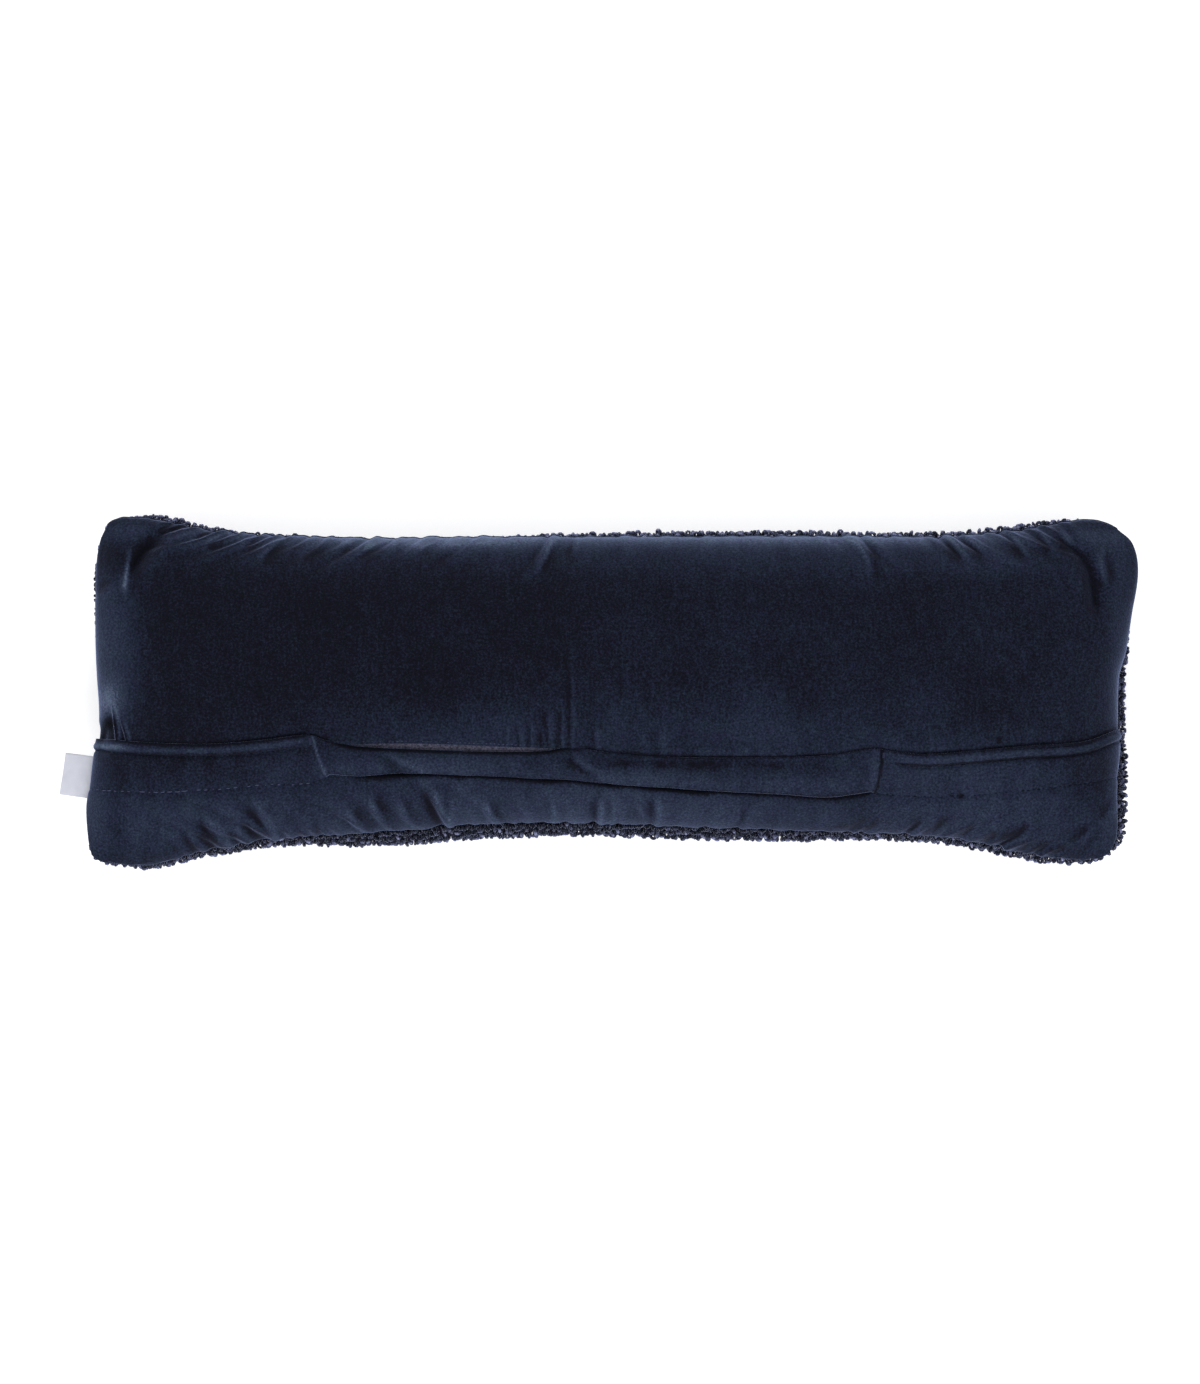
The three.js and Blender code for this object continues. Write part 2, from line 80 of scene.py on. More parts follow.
# Cloth
VELVET = 1.5                 # outer face of plain velvet above the filling
GATHER_MEAN = 0.7
GENTLE = 0.5                 # share of the tables' gathers that is left between the creases
LAP_CLEAR = 3.5              # outer face of the lap above the filling
LAP_DEPTH = 27.0             # fold to foot over the crown, where the lap is closed
PANEL_LIFT = 1.5             # how far the upper panel's edge stands up over the tape
EDGE_STITCH = 6.5            # edge stitch of the closed lap, below its fold
LAP_OVERHANG = 0.5           # how far the puffed lap leans out over its seam, beyond its swell
LAP_TUCK = 2.1               # how far its seam lies back under the puffed lap
FOOT_TURN = 0.12             # share of the puffed lap in which it turns up from its seam
LEFT_SLANT, RIGHT_SLANT = 8.0, 4.0   # how far its ends lean in towards its foot
FOLD_RADIUS = 0.9
ROLLED = 6                   # rows or columns that a panel's edge takes to turn under
TAPE_FACE = 1.3
TAPE_UNDER = 4.5             # tape hidden under the lap and under the panel
TAPE_SHORT = 8.0             # how far it stops short of the opening's ends
STITCH_ENDS = np.array([0.5, 1, 1, 1, 0.5])   # a stitch's thickness along it


def table(columns, rows):
    return np.array(rows, dtype=[(column, float) for column in columns.split()])


# The seam as seen from above: where it runs, and how far the loops stand past it
FAR_EDGE = table("at seam rim", [
    (-295.5, 94.2, 1.2), (-291, 97.4, 1.2), (-283, 98.9, 2.5), (-264, 96.9, 5.8),
    (-237, 90.8, 5.4), (-196, 87.6, 3.6), (-120, 86.5, 2.2), (-20, 87.0, 5.2),
    (60, 87.2, 6.5), (110, 87.2, 6.4), (188, 87.2, 5.6), (229, 90.2, 6.0), (258, 94.7, 5.4),
    (273, 97.0, 2.6), (284, 96.0, 1.2), (292.3, 92.2, 0.8)])
NEAR_EDGE = table("at seam rim", [
    (-302.5, -94.0, 1.2), (-298, -98.0, 1.4), (-288, -99.8, 2.0), (-268, -100.0, 3.4),
    (-240, -93.5, 3.8), (-199, -86.2, 4.7), (-148, -82.3, 8.1), (-120, -80.2, 9.6),
    (-95, -78.0, 9.5), (-66, -76.9, 8.6), (-20, -76.3, 8.2), (55, -78.9, 7.8),
    (98, -80.6, 7.0), (136, -81.8, 4.8), (165, -83.3, 3.9), (198, -85.3, 4.7),
    (236, -93.4, 4.5), (266, -97.4, 3.8), (279, -97.0, 2.8), (286.3, -93.2, 2.5)])
LEFT_EDGE = table("at seam rim", [
    (-94, -302.5, 1.0), (-86, -304.0, 0.4), (-68, -305.2, -0.2), (-52, -302.5, -0.4),
    (-40, -299.7, -0.6), (-29, -298.1, -0.6), (-14, -297.7, -0.4), (8, -299.2, 0.2),
    (30, -300.0, 1.0), (70, -300.2, 2.4), (86, -298.4, 1.6), (94.2, -295.5, 1.2)])
RIGHT_EDGE = table("at seam rim", [
    (-93.2, 286.3, 3.2), (-84, 289.4, 6.4), (-60, 289.5, 7.6), (-42, 290.4, 6.8),
    (-18, 289.6, 7.2), (8, 290.8, 5.8), (22, 295.0, 3.0), (44, 298.5, 0.8),
    (68, 302.7, 0.6), (84, 300.2, 0.6), (92.2, 292.3, 0.8)])

# The placket: top fold of the lap, line of the hem stitch, how far the lap puffs out
# between them, and where the upper panel's edge lies above or below the fold
PLACKET = table("at fold hem puff panel", [
    (-300, -29.3, -58.3, 0.0, -6), (-266, -32.3, -59.7, 0.3, -6), (-231, -33.2, -58.3, 0.4, -6),
    (-200, -31.0, -55.6, 0.3, -6), (-175, -28.2, -54.6, 0.0, -5), (-165, -31.0, -52.0, 2.5, -1.2),
    (-147, -34.2, -52.0, 4.5, 2.2), (-120, -35.5, -49.6, 6.0, 3.9), (-95, -36.3, -49.8, 7.0, 4.3),
    (-66, -37.0, -50.9, 6.5, 3.9), (-40, -36.6, -52.4, 6.0, 2.6), (-27, -34.8, -52.7, 7.0, 0.5),
    (0, -38.0, -55.3, 6.0, -2), (40, -40.4, -58.8, 4.0, -3), (91, -40.5, -61.3, 3.0, -3),
    (122, -39.2, -63.4, 2.8, -3), (148, -35.8, -60.6, 2.0, -3), (158, -37.2, -61.0, 0.0, -5),
    (177, -38.7, -62.0, 0.3, -6), (205, -36.8, -61.2, 0.3, -6), (233, -34.3, -58.8, 0.2, -6),
    (267, -31.5, -55.0, 0.0, -6), (289, -23.5, -51.2, 0.0, -6)])
OPENING = {"left": -173.0, "right": 152.0}

# Gathers that run in from the long seams: start, sideways lean for each millimetre in,
# length, height and half width
FAR_GATHERS = table("at lean length height width", [
    (-253, -1.3, 12, 1.0, 3.0), (-243, -1.5, 16, 1.6, 3.2), (-228, -1.6, 20, 2.0, 3.6),
    (-217, -1.5, 15, 1.2, 3.0), (-206, -1.4, 18, 1.6, 3.2), (-196, -1.2, 13, 1.1, 2.8),
    (-185, -1.2, 22, 1.9, 3.8), (-174, -1.1, 12, 1.0, 2.8), (-164, -1.1, 18, 1.5, 3.2),
    (-151, -1.0, 14, 1.0, 3.0), (-139, -0.9, 20, 1.6, 3.6), (-124, -0.9, 13, 1.0, 3.0),
    (-109, -0.8, 18, 1.4, 3.8), (-92, -0.7, 12, 0.8, 3.2), (-75, -0.6, 20, 1.3, 3.8),
    (-58, -0.5, 13, 0.8, 3.4), (-37, -0.4, 26, 2.0, 2.8), (-14, 0.0, 14, 0.8, 3.6),
    (8, 0.1, 16, 0.9, 3.8), (30, 0.2, 12, 0.7, 3.4), (54, 0.3, 17, 1.0, 4.0),
    (77, 0.4, 12, 0.7, 3.4), (98, 0.5, 18, 1.0, 3.8), (117, 0.6, 14, 0.8, 3.2),
    (134, 0.7, 22, 1.5, 3.6), (146, 0.7, 26, 1.3, 3.2), (163, 0.8, 16, 1.1, 3.4),
    (181, 0.9, 14, 1.0, 3.0), (193, 0.8, 22, 1.9, 3.2), (202, 0.9, 26, 2.0, 3.0),
    (216, 1.0, 15, 1.1, 3.0), (228, 1.1, 24, 2.1, 3.0), (240, 1.1, 18, 1.3, 2.8),
    (250, 1.0, 18, 1.8, 3.0), (260, 0.8, 14, 1.2, 3.0)])
NEAR_GATHERS = table("at lean length height width", [
    (-243, -0.9, 14, 1.0, 3.0), (-227, -1.0, 26, 1.7, 3.4), (-211, -1.1, 24, 1.5, 3.2),
    (-196, -0.8, 30, 2.1, 3.8), (-184, -0.8, 14, 1.0, 2.8), (-173, -0.9, 16, 1.3, 3.0),
    (-157, -1.0, 15, 1.1, 3.2), (-139, -1.1, 26, 1.8, 3.4), (-125, -0.7, 26, 1.8, 3.2),
    (-110, -0.6, 16, 1.1, 3.0), (-96, -0.5, 32, 2.3, 3.6), (-81, -0.5, 16, 1.0, 3.2),
    (-66, -0.5, 24, 1.5, 3.4), (-51, -0.3, 14, 0.9, 3.0), (-37, -0.2, 20, 1.2, 3.2),
    (-22, -0.1, 16, 1.0, 2.8), (-9, 0.0, 20, 1.3, 3.0), (6, 0.1, 17, 1.0, 2.8),
    (21, 0.1, 22, 1.3, 3.2), (38, 0.2, 14, 0.8, 3.0), (54, 0.4, 14, 0.8, 3.4),
    (70, 0.5, 17, 1.4, 3.4), (94, 0.5, 12, 0.7, 3.2), (118, 0.5, 14, 0.9, 3.4),
    (143, 0.8, 13, 0.8, 3.2), (170, 1.2, 17, 1.4, 3.2), (186, 1.3, 14, 1.0, 3.0),
    (202, 1.4, 19, 1.5, 3.2), (224, 1.6, 20, 1.6, 3.2), (245, 1.2, 14, 1.0, 3.0),
    (268, 0.9, 16, 1.2, 3.2)])

# Deep folds of the whole corner: from, bend and to, depth (below zero for a ridge) and
# half width
FOLDS = table("ax ay bx by cx cy depth width", [
    (-253, 94, -266, 84.5, -277.5, 69, 3.5, 5.2),
    (264.5, 80, 272.5, 67, 274.5, 48, 3.4, 4.4),
    (-294, -34, -293, -28, -289, -22, 2.8, 5.0),
    (-248, 91, -258, 83, -268, 68, -0.9, 3.0),
    (-279, 79, -281.2, 69, -282, 57, -1.2, 2.0)])

# Creases of the velvet alone, from the inner tip past a middle point to the outer end:
# depth of the valley, height of the ridge on its left (below zero: on its right) and
# half width
LOWER_CREASES = table("ax ay bx by cx cy depth ridge width", [
    # along the near edge, left to right
    (-250, -81, -245, -88, -240, -93, 1.1, 0.8, 2.2), (-241, -70, -235, -82, -227, -89, 2.0, 1.1, 3.4),
    (-224, -77, -219, -84, -213, -89, 1.4, 1.0, 2.4), (-214, -75, -210, -81, -205, -86, 1.2, 0.8, 2.2),
    (-213, -65, -206, -74, -200, -85, 2.4, 1.7, 3.2), (-184, -81, -181.5, -83, -178.5, -85, 0.6, 0.6, 1.6),
    (-174, -77, -171.5, -80.5, -168, -84, 0.7, 0.7, 1.8), (-150, -65, -147.5, -74, -139, -81, 1.4, -1.1, 2.6),
    (-136.5, -57, -134.5, -69, -127.5, -80, 1.5, -1.2, 2.6),
    (-121, -60, -118.5, -70, -112.5, -78, 0.9, -0.9, 2.6),
    (-108, -55, -105.5, -67, -99, -77.5, 2.1, 1.2, 2.6), (-96.5, -61, -96.5, -67, -96, -73, 0.9, 0.3, 1.8),
    (-71.5, -61, -69.5, -70, -63.5, -77, 1.3, -1.2, 2.4), (-39, -60, -38.5, -68.5, -37, -76, 1.0, 0.7, 2.2),
    (-12, -62, -11.5, -68, -11, -75, 0.9, 0.7, 2.2), (-4.5, -62, -3.5, -67, -3, -74, 0.7, 0.6, 1.8),
    (10.5, -67, 12.5, -72, 16, -77, 0.6, 0.7, 1.8), (21.5, -61, 21.5, -67, 22.5, -75, 1.0, 0.7, 2.2),
    (73.5, -67, 72.5, -76, 67, -80, 1.2, -0.5, 1.4), (145, -73, 139.5, -78, 132, -81, 1.2, 0.5, 1.6),
    (154, -75, 149, -79, 142.5, -82, 1.2, 0.5, 1.6), (177, -74, 173.5, -79, 167.5, -83, 1.3, 0.6, 1.6),
    (191, -72, 187, -78, 179, -84, 1.0, 0.6, 2.0), (207.5, -77, 203.5, -81, 197, -85, 1.5, 0.8, 1.7),
    (220.5, -82, 217, -85, 212, -88, 1.2, 0.5, 1.6), (239, -76, 233, -82.5, 220, -90, 1.8, 0.9, 1.9),
    (239, -89, 236.5, -91, 233, -93, 0.8, 0.4, 1.4), (249.5, -90, 246, -92, 242.5, -93.5, 0.9, 0.4, 1.4),
    (261.5, -90, 256, -93, 250, -94.5, 1.0, 0.4, 1.4), (273, -77, 269.5, -82.5, 264, -87, 0.9, 0.3, 1.8),
    (286.5, -62, 283.5, -68, 280.5, -73, 1.1, 0.4, 1.8),
    # on the puffed lap
    (-137, -39, -127, -44, -114, -50, 0.7, 0.45, 2.6), (-28, -38, -23, -45, -12, -52, 1.0, 1.0, 2.4)])
UPPER_CREASES = table("ax ay bx by cx cy depth ridge width", [
    # along the far edge, left to right
    (-266, 92, -262, 93, -257, 94, 0.5, 1.0, 1.4), (-291, 63, -293.5, 60, -299, 53.5, 0.9, 0.3, 2.2),
    (-244, 85, -241, 88, -237, 91, 1.2, 0.6, 1.8), (-236, 80, -231.5, 83.5, -225, 88, 1.6, 1.2, 2.4),
    (-213.5, 80, -210.5, 84, -206, 88, 1.6, 1.0, 2.2), (-200, 69, -198, 77.5, -188, 87, 1.6, 1.3, 2.4),
    (-188, 81, -183, 83, -177, 86, 1.2, 0.3, 1.8), (-180, 72, -176, 77, -165, 85.5, 1.4, 1.3, 2.4),
    (-160, 78.5, -155.5, 81.5, -149, 85.5, 1.1, 1.0, 2.2),
    (-147.5, 73, -140.5, 79, -130.5, 85.5, 1.2, 1.1, 2.4),
    (-128.5, 80, -125.5, 83, -122, 86, 1.0, 0.6, 1.8), (-113, 77, -108.5, 80.5, -101, 86, 1.3, 0.8, 2.0),
    (-92, 78, -86, 82.5, -80, 86, 0.7, 0.9, 2.0), (-42.5, 62, -39.5, 71.5, -33, 85, 0.7, 1.3, 2.0),
    (-26, 73, -25.5, 80, -24, 86, 1.0, -0.6, 2.0), (135, 78, 131.5, 83.5, 126, 87, 0.7, 0.8, 2.0),
    (150, 56, 148.5, 73, 143, 87, 0.9, 1.0, 2.4), (186, 79, 183.5, 83, 180, 87, 0.7, 0.8, 2.0),
    (201, 68, 196, 78, 190, 87, 2.0, -1.7, 2.4), (215, 68, 208, 78, 200.5, 87, 2.0, -0.5, 2.4),
    (237, 72, 232.5, 79, 226.5, 88.5, 1.6, -1.1, 2.0), (253, 76, 248, 82, 242.5, 91, 1.5, -0.6, 2.2),
    (269, 75, 260, 82.5, 255, 92, 1.5, -0.6, 2.4), (286, 58, 284.5, 66, 283, 76, 1.3, 1.0, 2.4),
    # above the placket
    (-39, -8, -39.5, -20, -38.5, -35, 0.55, 0.5, 1.6), (-31.5, -9, -31.5, -20, -32, -35, 0.7, 0.5, 1.4),
    (-27, 26, -26, -8, -26, -35, 0.5, 0.5, 1.4), (-294, -18, -294.5, -24, -294, -32, 3.2, 0.0, 4.2),
    (-290.8, -6, -287.2, -20, -286.0, -34, 1.2, 4.5, 1.4),
    (-285.6, -15, -281.6, -24, -279.4, -34, 1.0, 3.6, 1.3),
    (-14, -21, -13, -28, -13, -36, 0.3, 0.5, 2.0), (22, -22, 23, -29, 24, -38, 0.1, 0.25, 2.4),
    (-64, -20, -63, -27, -63, -33, 0.2, 0.4, 1.2), (-56, -20, -55.5, -27, -54.5, -34, 0.3, 0.6, 1.2),
    (-49.5, -18, -49, -26, -49, -34.5, 0.3, 0.6, 1.2), (-44, -22, -42.5, -28, -42, -35, 0.3, 0.5, 1.2)])

# How light the velvet looks, brushed pile and painted light together: a patch's middle, its half widths and
# its lift
NAP_AND_PAINTED_LIGHT = table("x y wide tall lift", [
    # middle of the upper panel and the lap: pile tone and painted light together
    (95, 15, 120, 60, 0.14), (90, -28, 80, 15, 0.24), (-85, -30, 100, 20, 0.34), (-10, -12, 40, 16, 0.14),
    (195, -34, 60, 12, 0.16), (265, 15, 50, 75, 0.16), (-118, -47, 60, 8, 0.40),
    (12, -54, 45, 7, 0.30), (110, -56, 40, 6, 0.20), (185, -46, 60, 12, 0.25),
    (85, -9, 14, 12, 0.13), (177, -9, 16, 12, 0.14), (-16, -15, 9, 12, -0.20),
    # painted shadow of the lap's fold, and a painted highlight on the crest above it
    (4, -44, 9, 2.6, -0.30), (26, -45, 5, 2.6, -0.26), (50, -45.5, 8, 3.2, -0.42),
    (90, -46, 8, 2.6, -0.24), (45, -44, 45, 2.0, -0.12), (66, -38, 24, 1.8, 0.24),
    # along the near edge: brushed pile and painted sheen
    (-20, -72, 200, 22, 0.62), (-240, -76, 60, 22, 0.30), (215, -70, 50, 22, 0.36),
    (-275, -84, 30, 18, 0.25), (268, -80, 26, 20, 0.20), (-50, -82, 50, 4.0, 0.25),
    (115, -82, 35, 4.0, -0.20), (-287, -80, 7, 5.0, -0.28),
    # along the far edge: painted sheen where the velvet turns down to its seam
    (-75, 88, 190, 6.0, 0.95), (150, 88, 115, 6.0, 0.80), (-90, 78, 200, 13, 0.20),
    (130, 76, 140, 15, 0.24), (-283, 94, 18, 5, 0.30), (285, 78, 18, 22, 0.30),
    (-108, 84.5, 46, 5.0, 0.80), (212, 72, 30, 8, 0.26),
    # in the corner folds: painted shade in the valleys and painted highlights on the crests
    (-268, 82.5, 7, 5.0, -0.42), (-275.5, 74, 3.6, 6.0, -0.42), (273.5, 66, 3.6, 12, -0.32),
    (-279.9, 77, 1.0, 3.5, 0.50), (-281.1, 69.5, 1.1, 5.0, 1.00), (-281.9, 61, 1.5, 6.0, 1.00),
    # at the short ends: painted sheen where the velvet turns down, and painted shade in a pocket by the left
    # seam
    (-290, 30, 17, 48, 0.64), (-292, -8, 14, 15, 0.50), (-291, 77, 12, 12, -0.34), (292, 15, 8, 44, 0.33),
    (-292, -8, 8, 11, 0.65), (-291.2, -21.5, 3.2, 4.8, -1.50),
    (-300, -62, 7, 34, 0.35), (290, -66, 7, 30, 0.30)])

# Small worn or stained spots on the velvet
SPOTS = table("x y size lift", [
    (218.6, -30.6, 1.3, -0.8), (197.7, -62.2, 1.8, -0.7), (192, -61.5, 1.0, -0.4), (279, 60, 3.5, -0.3)])

# How a crease shows: its relief, and painted shade in the valley and a painted highlight on the ridge
UPPER_RELIEF = 0.4           # share of the tables' depths and heights that is modelled
LOWER_RELIEF = 0.65
VALLEY_DARK = 0.45
RIDGE_LIGHT = 0.40
VALLEY_SPREAD = 1.7          # half widths on the open side of a valley
VALLEY_STEEP = 0.8           # and on the side of its ridge
RIDGE_ASIDE = 1.4            # half widths from the valley to its ridge
RIDGE_SPREAD = 0.85

# Short folds on the puffed lap, from its fold to its foot
LAP_FOLDS = table("top foot height width", [
    (-150, -143, 0.7, 3.0), (-129, -115, 0.9, 4.0), (-88, -84, 0.6, 5.0), (-52, -47, 0.7, 4.0),
    (-25, -16, 1.5, 3.2), (-12, -5, -1.2, 2.4), (2, 6, 0.9, 4.0), (30, 34, -0.5, 5.0),
    (66, 69, 0.5, 6.0), (104, 106, -0.5, 5.0), (140, 139, 0.7, 4.0)])


def read(rows, column, place):
    """A column of a table at any place, on a smooth curve through its rows."""
    at, value = rows["at"], rows[column]
    slope = np.gradient(value, at)
    slope[1:-1] = (value[2:] - value[:-2]) / (at[2:] - at[:-2])
    place = np.clip(place, at[0], at[-1])
    k = np.clip(np.searchsorted(at, place, side="right") - 1, 0, len(at) - 2)
    span = at[k + 1] - at[k]
    t = (place - at[k]) / span
    ease = t * t * (3 - 2 * t)
    bend = span * t * (1 - t) * ((1 - t) * slope[k] - t * slope[k + 1])
    return value[k] + (value[k + 1] - value[k]) * ease + bend


def smooth(value, low, high):
    t = np.clip((value - low) / (high - low), 0, 1)
    return t * t * (3 - 2 * t)


def bell(value, middle, width):
    return np.exp(-(((value - middle) / width) ** 2))


def unit(vectors):
    return vectors / np.maximum(np.linalg.norm(vectors, axis=-1, keepdims=True), 1e-9)


def waves(x, y, length, count=7, seed=1):
    """Soft unevenness of about that wavelength, between -1 and 1."""
    pick = np.random.default_rng(seed)
    total = np.zeros(np.broadcast(x, y).shape)
    for _ in range(count):
        angle, phase = pick.uniform(0, 2 * math.pi, 2)
        k = 2 * math.pi / (length * pick.uniform(0.7, 1.5))
        total = total + np.sin(k * (x * math.cos(angle) + y * math.sin(angle)) + phase)
    return total / math.sqrt(count) / 1.6


def to_segment(x, y, ax, ay, bx, by):
    t = np.clip(((x - ax) * (bx - ax) + (y - ay) * (by - ay)) / ((bx - ax) ** 2 + (by - ay) ** 2), 0, 1)
    return np.hypot(x - ax - t * (bx - ax), y - ay - t * (by - ay))


def fullness(x, y):
    """How full the pillow is, from 0 on the outline to 1 in the middle."""
    far = read(FAR_EDGE, "seam", x)
    near = read(NEAR_EDGE, "seam", x)
    left = read(LEFT_EDGE, "seam", y)
    right = read(RIGHT_EDGE, "seam", y)
    across = np.clip(np.abs(2 * y - far - near) / (far - near), 0, 1)
    along = np.clip(np.abs(2 * x - left - right) / (right - left), 0, 1)
    return (1 - across ** 2) ** CROWN_POWER * (1 - along ** END_ROUNDING) ** 0.5


def creases(x, y, of_valley=1.0, of_ridge=1.0):
    """Depth of the corner folds, with a weight for those that go down and up."""
    depth = np.zeros(np.broadcast(x, y).shape)
    for fold in FOLDS:
        away = np.minimum(
            to_segment(x, y, fold["ax"], fold["ay"], fold["bx"], fold["by"]),
            to_segment(x, y, fold["bx"], fold["by"], fold["cx"], fold["cy"]))
        weight = of_valley if fold["depth"] > 0 else of_ridge
        depth = depth + weight * fold["depth"] * bell(away, 0, fold["width"])
    return depth


def filling_top(x, y):
    full = fullness(x, y)
    return SEAM_HEIGHT + CROWN_RISE * full - creases(x, y) * np.minimum(1, 3 * full)


def outwards(x, y):
    step = 1.5
    dx = (filling_top(x + step, y) - filling_top(x - step, y)) / (2 * step)
    dy = (filling_top(x, y + step) - filling_top(x, y - step)) / (2 * step)
    ease = np.minimum(1, STEEPEST / np.maximum(np.hypot(dx, dy), 1e-6))
    return unit(np.stack([-dx * ease, -dy * ease, np.ones_like(dx)], axis=-1))


def beside(row, x, y):
    """Distance to the left of a bent crease, and the share of the way along it."""
    start, bend, end = (np.array([row[letter + "x"], row[letter + "y"]]) for letter in "abc")
    pull = 2 * bend - (start + end) / 2
    t = np.linspace(0, 1, 41)
    along = t[:, None]
    path = (1 - along) ** 2 * start + 2 * along * (1 - along) * pull + along ** 2 * end
    run = unit(np.gradient(path, axis=0))
    gap = np.stack([x, y], axis=-1)[:, None] - path
    nearest = np.argmin((gap ** 2).sum(axis=-1), axis=1)
    gap = gap[np.arange(len(x)), nearest]
    side = np.sign(run[nearest, 0] * gap[:, 1] - run[nearest, 1] * gap[:, 0])
    return side * np.linalg.norm(gap, axis=1), t[nearest]


def crease_marks(x, y, rows):
    """What the velvet's own creases add to its height, and the painted shade and highlight they add to its
    tone.
    """
    height = np.zeros(x.shape)
    tone = np.zeros(x.shape)
    for row in rows:
        reach = 4.0 * row["width"]
        across = (row["ax"], row["bx"], row["cx"])
        up = (row["ay"], row["by"], row["cy"])
        inside = (x > min(across) - reach) & (x < max(across) + reach)
        inside &= (y > min(up) - reach) & (y < max(up) + reach)
        if not inside.any():
            continue
        aside, share = beside(row, x[inside], y[inside])
        aside = aside * (-1 if row["ridge"] < 0 else 1) / row["width"]
        fade = smooth(share, 0.0, 0.5) * (1 - 0.3 * smooth(share, 0.7, 1.0))
        spread = np.where(aside < 0, VALLEY_SPREAD, VALLEY_STEEP)
        valley = bell(aside, 0, spread) * fade
        ridge = bell(aside, RIDGE_ASIDE, RIDGE_SPREAD) * fade
        depth, rise = row["depth"], abs(row["ridge"])
        height[inside] += rise * ridge - depth * valley
        # painted shade in the valley and painted highlight on the ridge
        tone[inside] += RIDGE_LIGHT * math.sqrt(rise) * ridge - VALLEY_DARK * math.sqrt(depth) * valley
    return height, tone


def gather_ridges(x, y):
    """Ridges that fullness at the long seams gives the velvet."""
    height = np.zeros(np.broadcast(x, y).shape)
    pick = np.random.default_rng(17)
    for rows, edge, inward in ((FAR_GATHERS, FAR_EDGE, -1), (NEAR_GATHERS, NEAR_EDGE, 1)):
        depth = inward * (y - read(edge, "seam", x))
        for row in rows:
            lean = row["lean"] + pick.uniform(-0.35, 0.35)
            length = row["length"] * pick.uniform(0.8, 1.3)
            start = row["at"] + pick.uniform(-2.5, 2.5)
            fade = 1 - smooth(depth, 0.2 * length, 1.2 * length)
            width = row["width"] * (0.8 + 0.7 * np.clip(depth / length, 0, 2))
            aside = (x - start - lean * depth - 0.012 * depth ** 2 * np.sign(lean)) / width
            ridge = bell(aside, 0, 1) - 0.9 * bell(aside, -1.4, 0.8)
            height = height + GENTLE * row["height"] * fade * ridge
        pucker = np.exp(-np.clip(depth, 0, None) / 6.0)
        height = height + 0.35 * pucker * waves(x, 0.3 * y, 8.0, seed=5)
    upright = smooth(-y, 5, 60)
    return height + 0.28 * upright * waves(x, 0.22 * y, 20.0, seed=8)


def gathers(x, y):
    """Height that the gathers and the soft filling give the velvet."""
    height = GATHER_MEAN + gather_ridges(x, y) + 0.5 * waves(x, y, 95.0, seed=3)
    return height + 0.22 * waves(x, y, 38.0, seed=4)


def pile_and_painted_light(x, y, rows):
    """How light the velvet is, 0 dark and 1 light: brushed pile, spots, and painted shade and highlights
    together.
    """
    tone = crease_marks(x, y, rows)[1]
    for row in NAP_AND_PAINTED_LIGHT:
        tone = tone + row["lift"] * bell(x, row["x"], row["wide"]) * bell(y, row["y"], row["tall"])
    for row in SPOTS:
        tone = tone + row["lift"] * bell(x, row["x"], row["size"]) * bell(y, row["y"], row["size"])
    tone = tone + 0.05 * waves(x, y, 60.0, seed=14) + 0.03 * waves(x, y, 16.0, seed=15)
    # painted shade in the corner folds' valleys, painted highlights on their ridges and on the gathers'
    # ridges
    return tone - creases(x, y, 0.10, 0.20) + 0.3 * gather_ridges(x, y)


def on_filling(x, y, height):
    """Points at a height above the filling, along its outward direction."""
    point = np.stack([x, y, filling_top(x, y)], axis=-1)
    return point + outwards(x, y) * np.asarray(height)[..., None]


def settle(share, place):
    """x and y where a share of the way along the pillow meets the line y = place(x)."""
    x = np.zeros_like(share)
    y = np.zeros_like(share)
    for _ in range(7):
        left = read(LEFT_EDGE, "seam", y) + SEAM_INSET
        right = read(RIGHT_EDGE, "seam", y) - SEAM_INSET
        x = left + (right - left) * share
        y = place(x)
    return x, y


def shares(count):
    """Columns of a panel, a little closer together at the ends."""
    t = np.linspace(0, 1, count)
    return t - 0.06 * np.sin(2 * math.pi * t)


def near_seam(x):
    return read(NEAR_EDGE, "seam", x) + SEAM_INSET + SEAM_WAVER * waves(x, 0 * x, 11.0, seed=31)


def far_seam(x):
    return read(FAR_EDGE, "seam", x) - FAR_INSET


def mesh_of(name, points, faces, material, uv=None, tone=None):
    """A smooth mesh of four-sided faces, points in millimetres."""
    points = np.asarray(points, float).reshape(-1, 3) * MM
    faces = np.asarray(faces, np.int32).reshape(-1, 4)
    mesh = bpy.data.meshes.new(name)
    mesh.vertices.add(len(points))
    mesh.vertices.foreach_set("co", points.ravel())
    mesh.loops.add(faces.size)
    mesh.loops.foreach_set("vertex_index", faces.ravel())
    mesh.polygons.add(len(faces))
    mesh.polygons.foreach_set("loop_start", np.arange(0, faces.size, 4, dtype=np.int32))
    mesh.update(calc_edges=True)
    mesh.shade_smooth()
    if uv is not None:
        layer = mesh.uv_layers.new(name="UVMap")
        layer.data.foreach_set("uv", np.asarray(uv, float).reshape(-1, 2)[faces.ravel()].ravel())
    if tone is not None:
        layer = mesh.attributes.new("tone", "FLOAT", "POINT")
        layer.data.foreach_set("value", np.asarray(tone, float).ravel())
    piece = bpy.data.objects.new(name, mesh)
    bpy.context.scene.collection.objects.link(piece)
    mesh.materials.append(material)
    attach(piece, "root")
    return piece


def grid_faces(rows, columns, wrap=False):
    """Faces of a grid of points, the columns closed into a ring if they wrap."""
    r = np.arange(rows - 1)[:, None]
    c = np.arange(columns if wrap else columns - 1)[None, :]
    after = (c + 1) % columns
    corners = [r * columns + c, r * columns + after, (r + 1) * columns + after, (r + 1) * columns + c]
    return np.stack(corners, axis=-1).reshape(-1, 4)


def sheet_of(name, grid, material, **extra):
    rows, columns = grid.shape[:2]
    return mesh_of(name, grid, grid_faces(rows, columns), material, **extra)


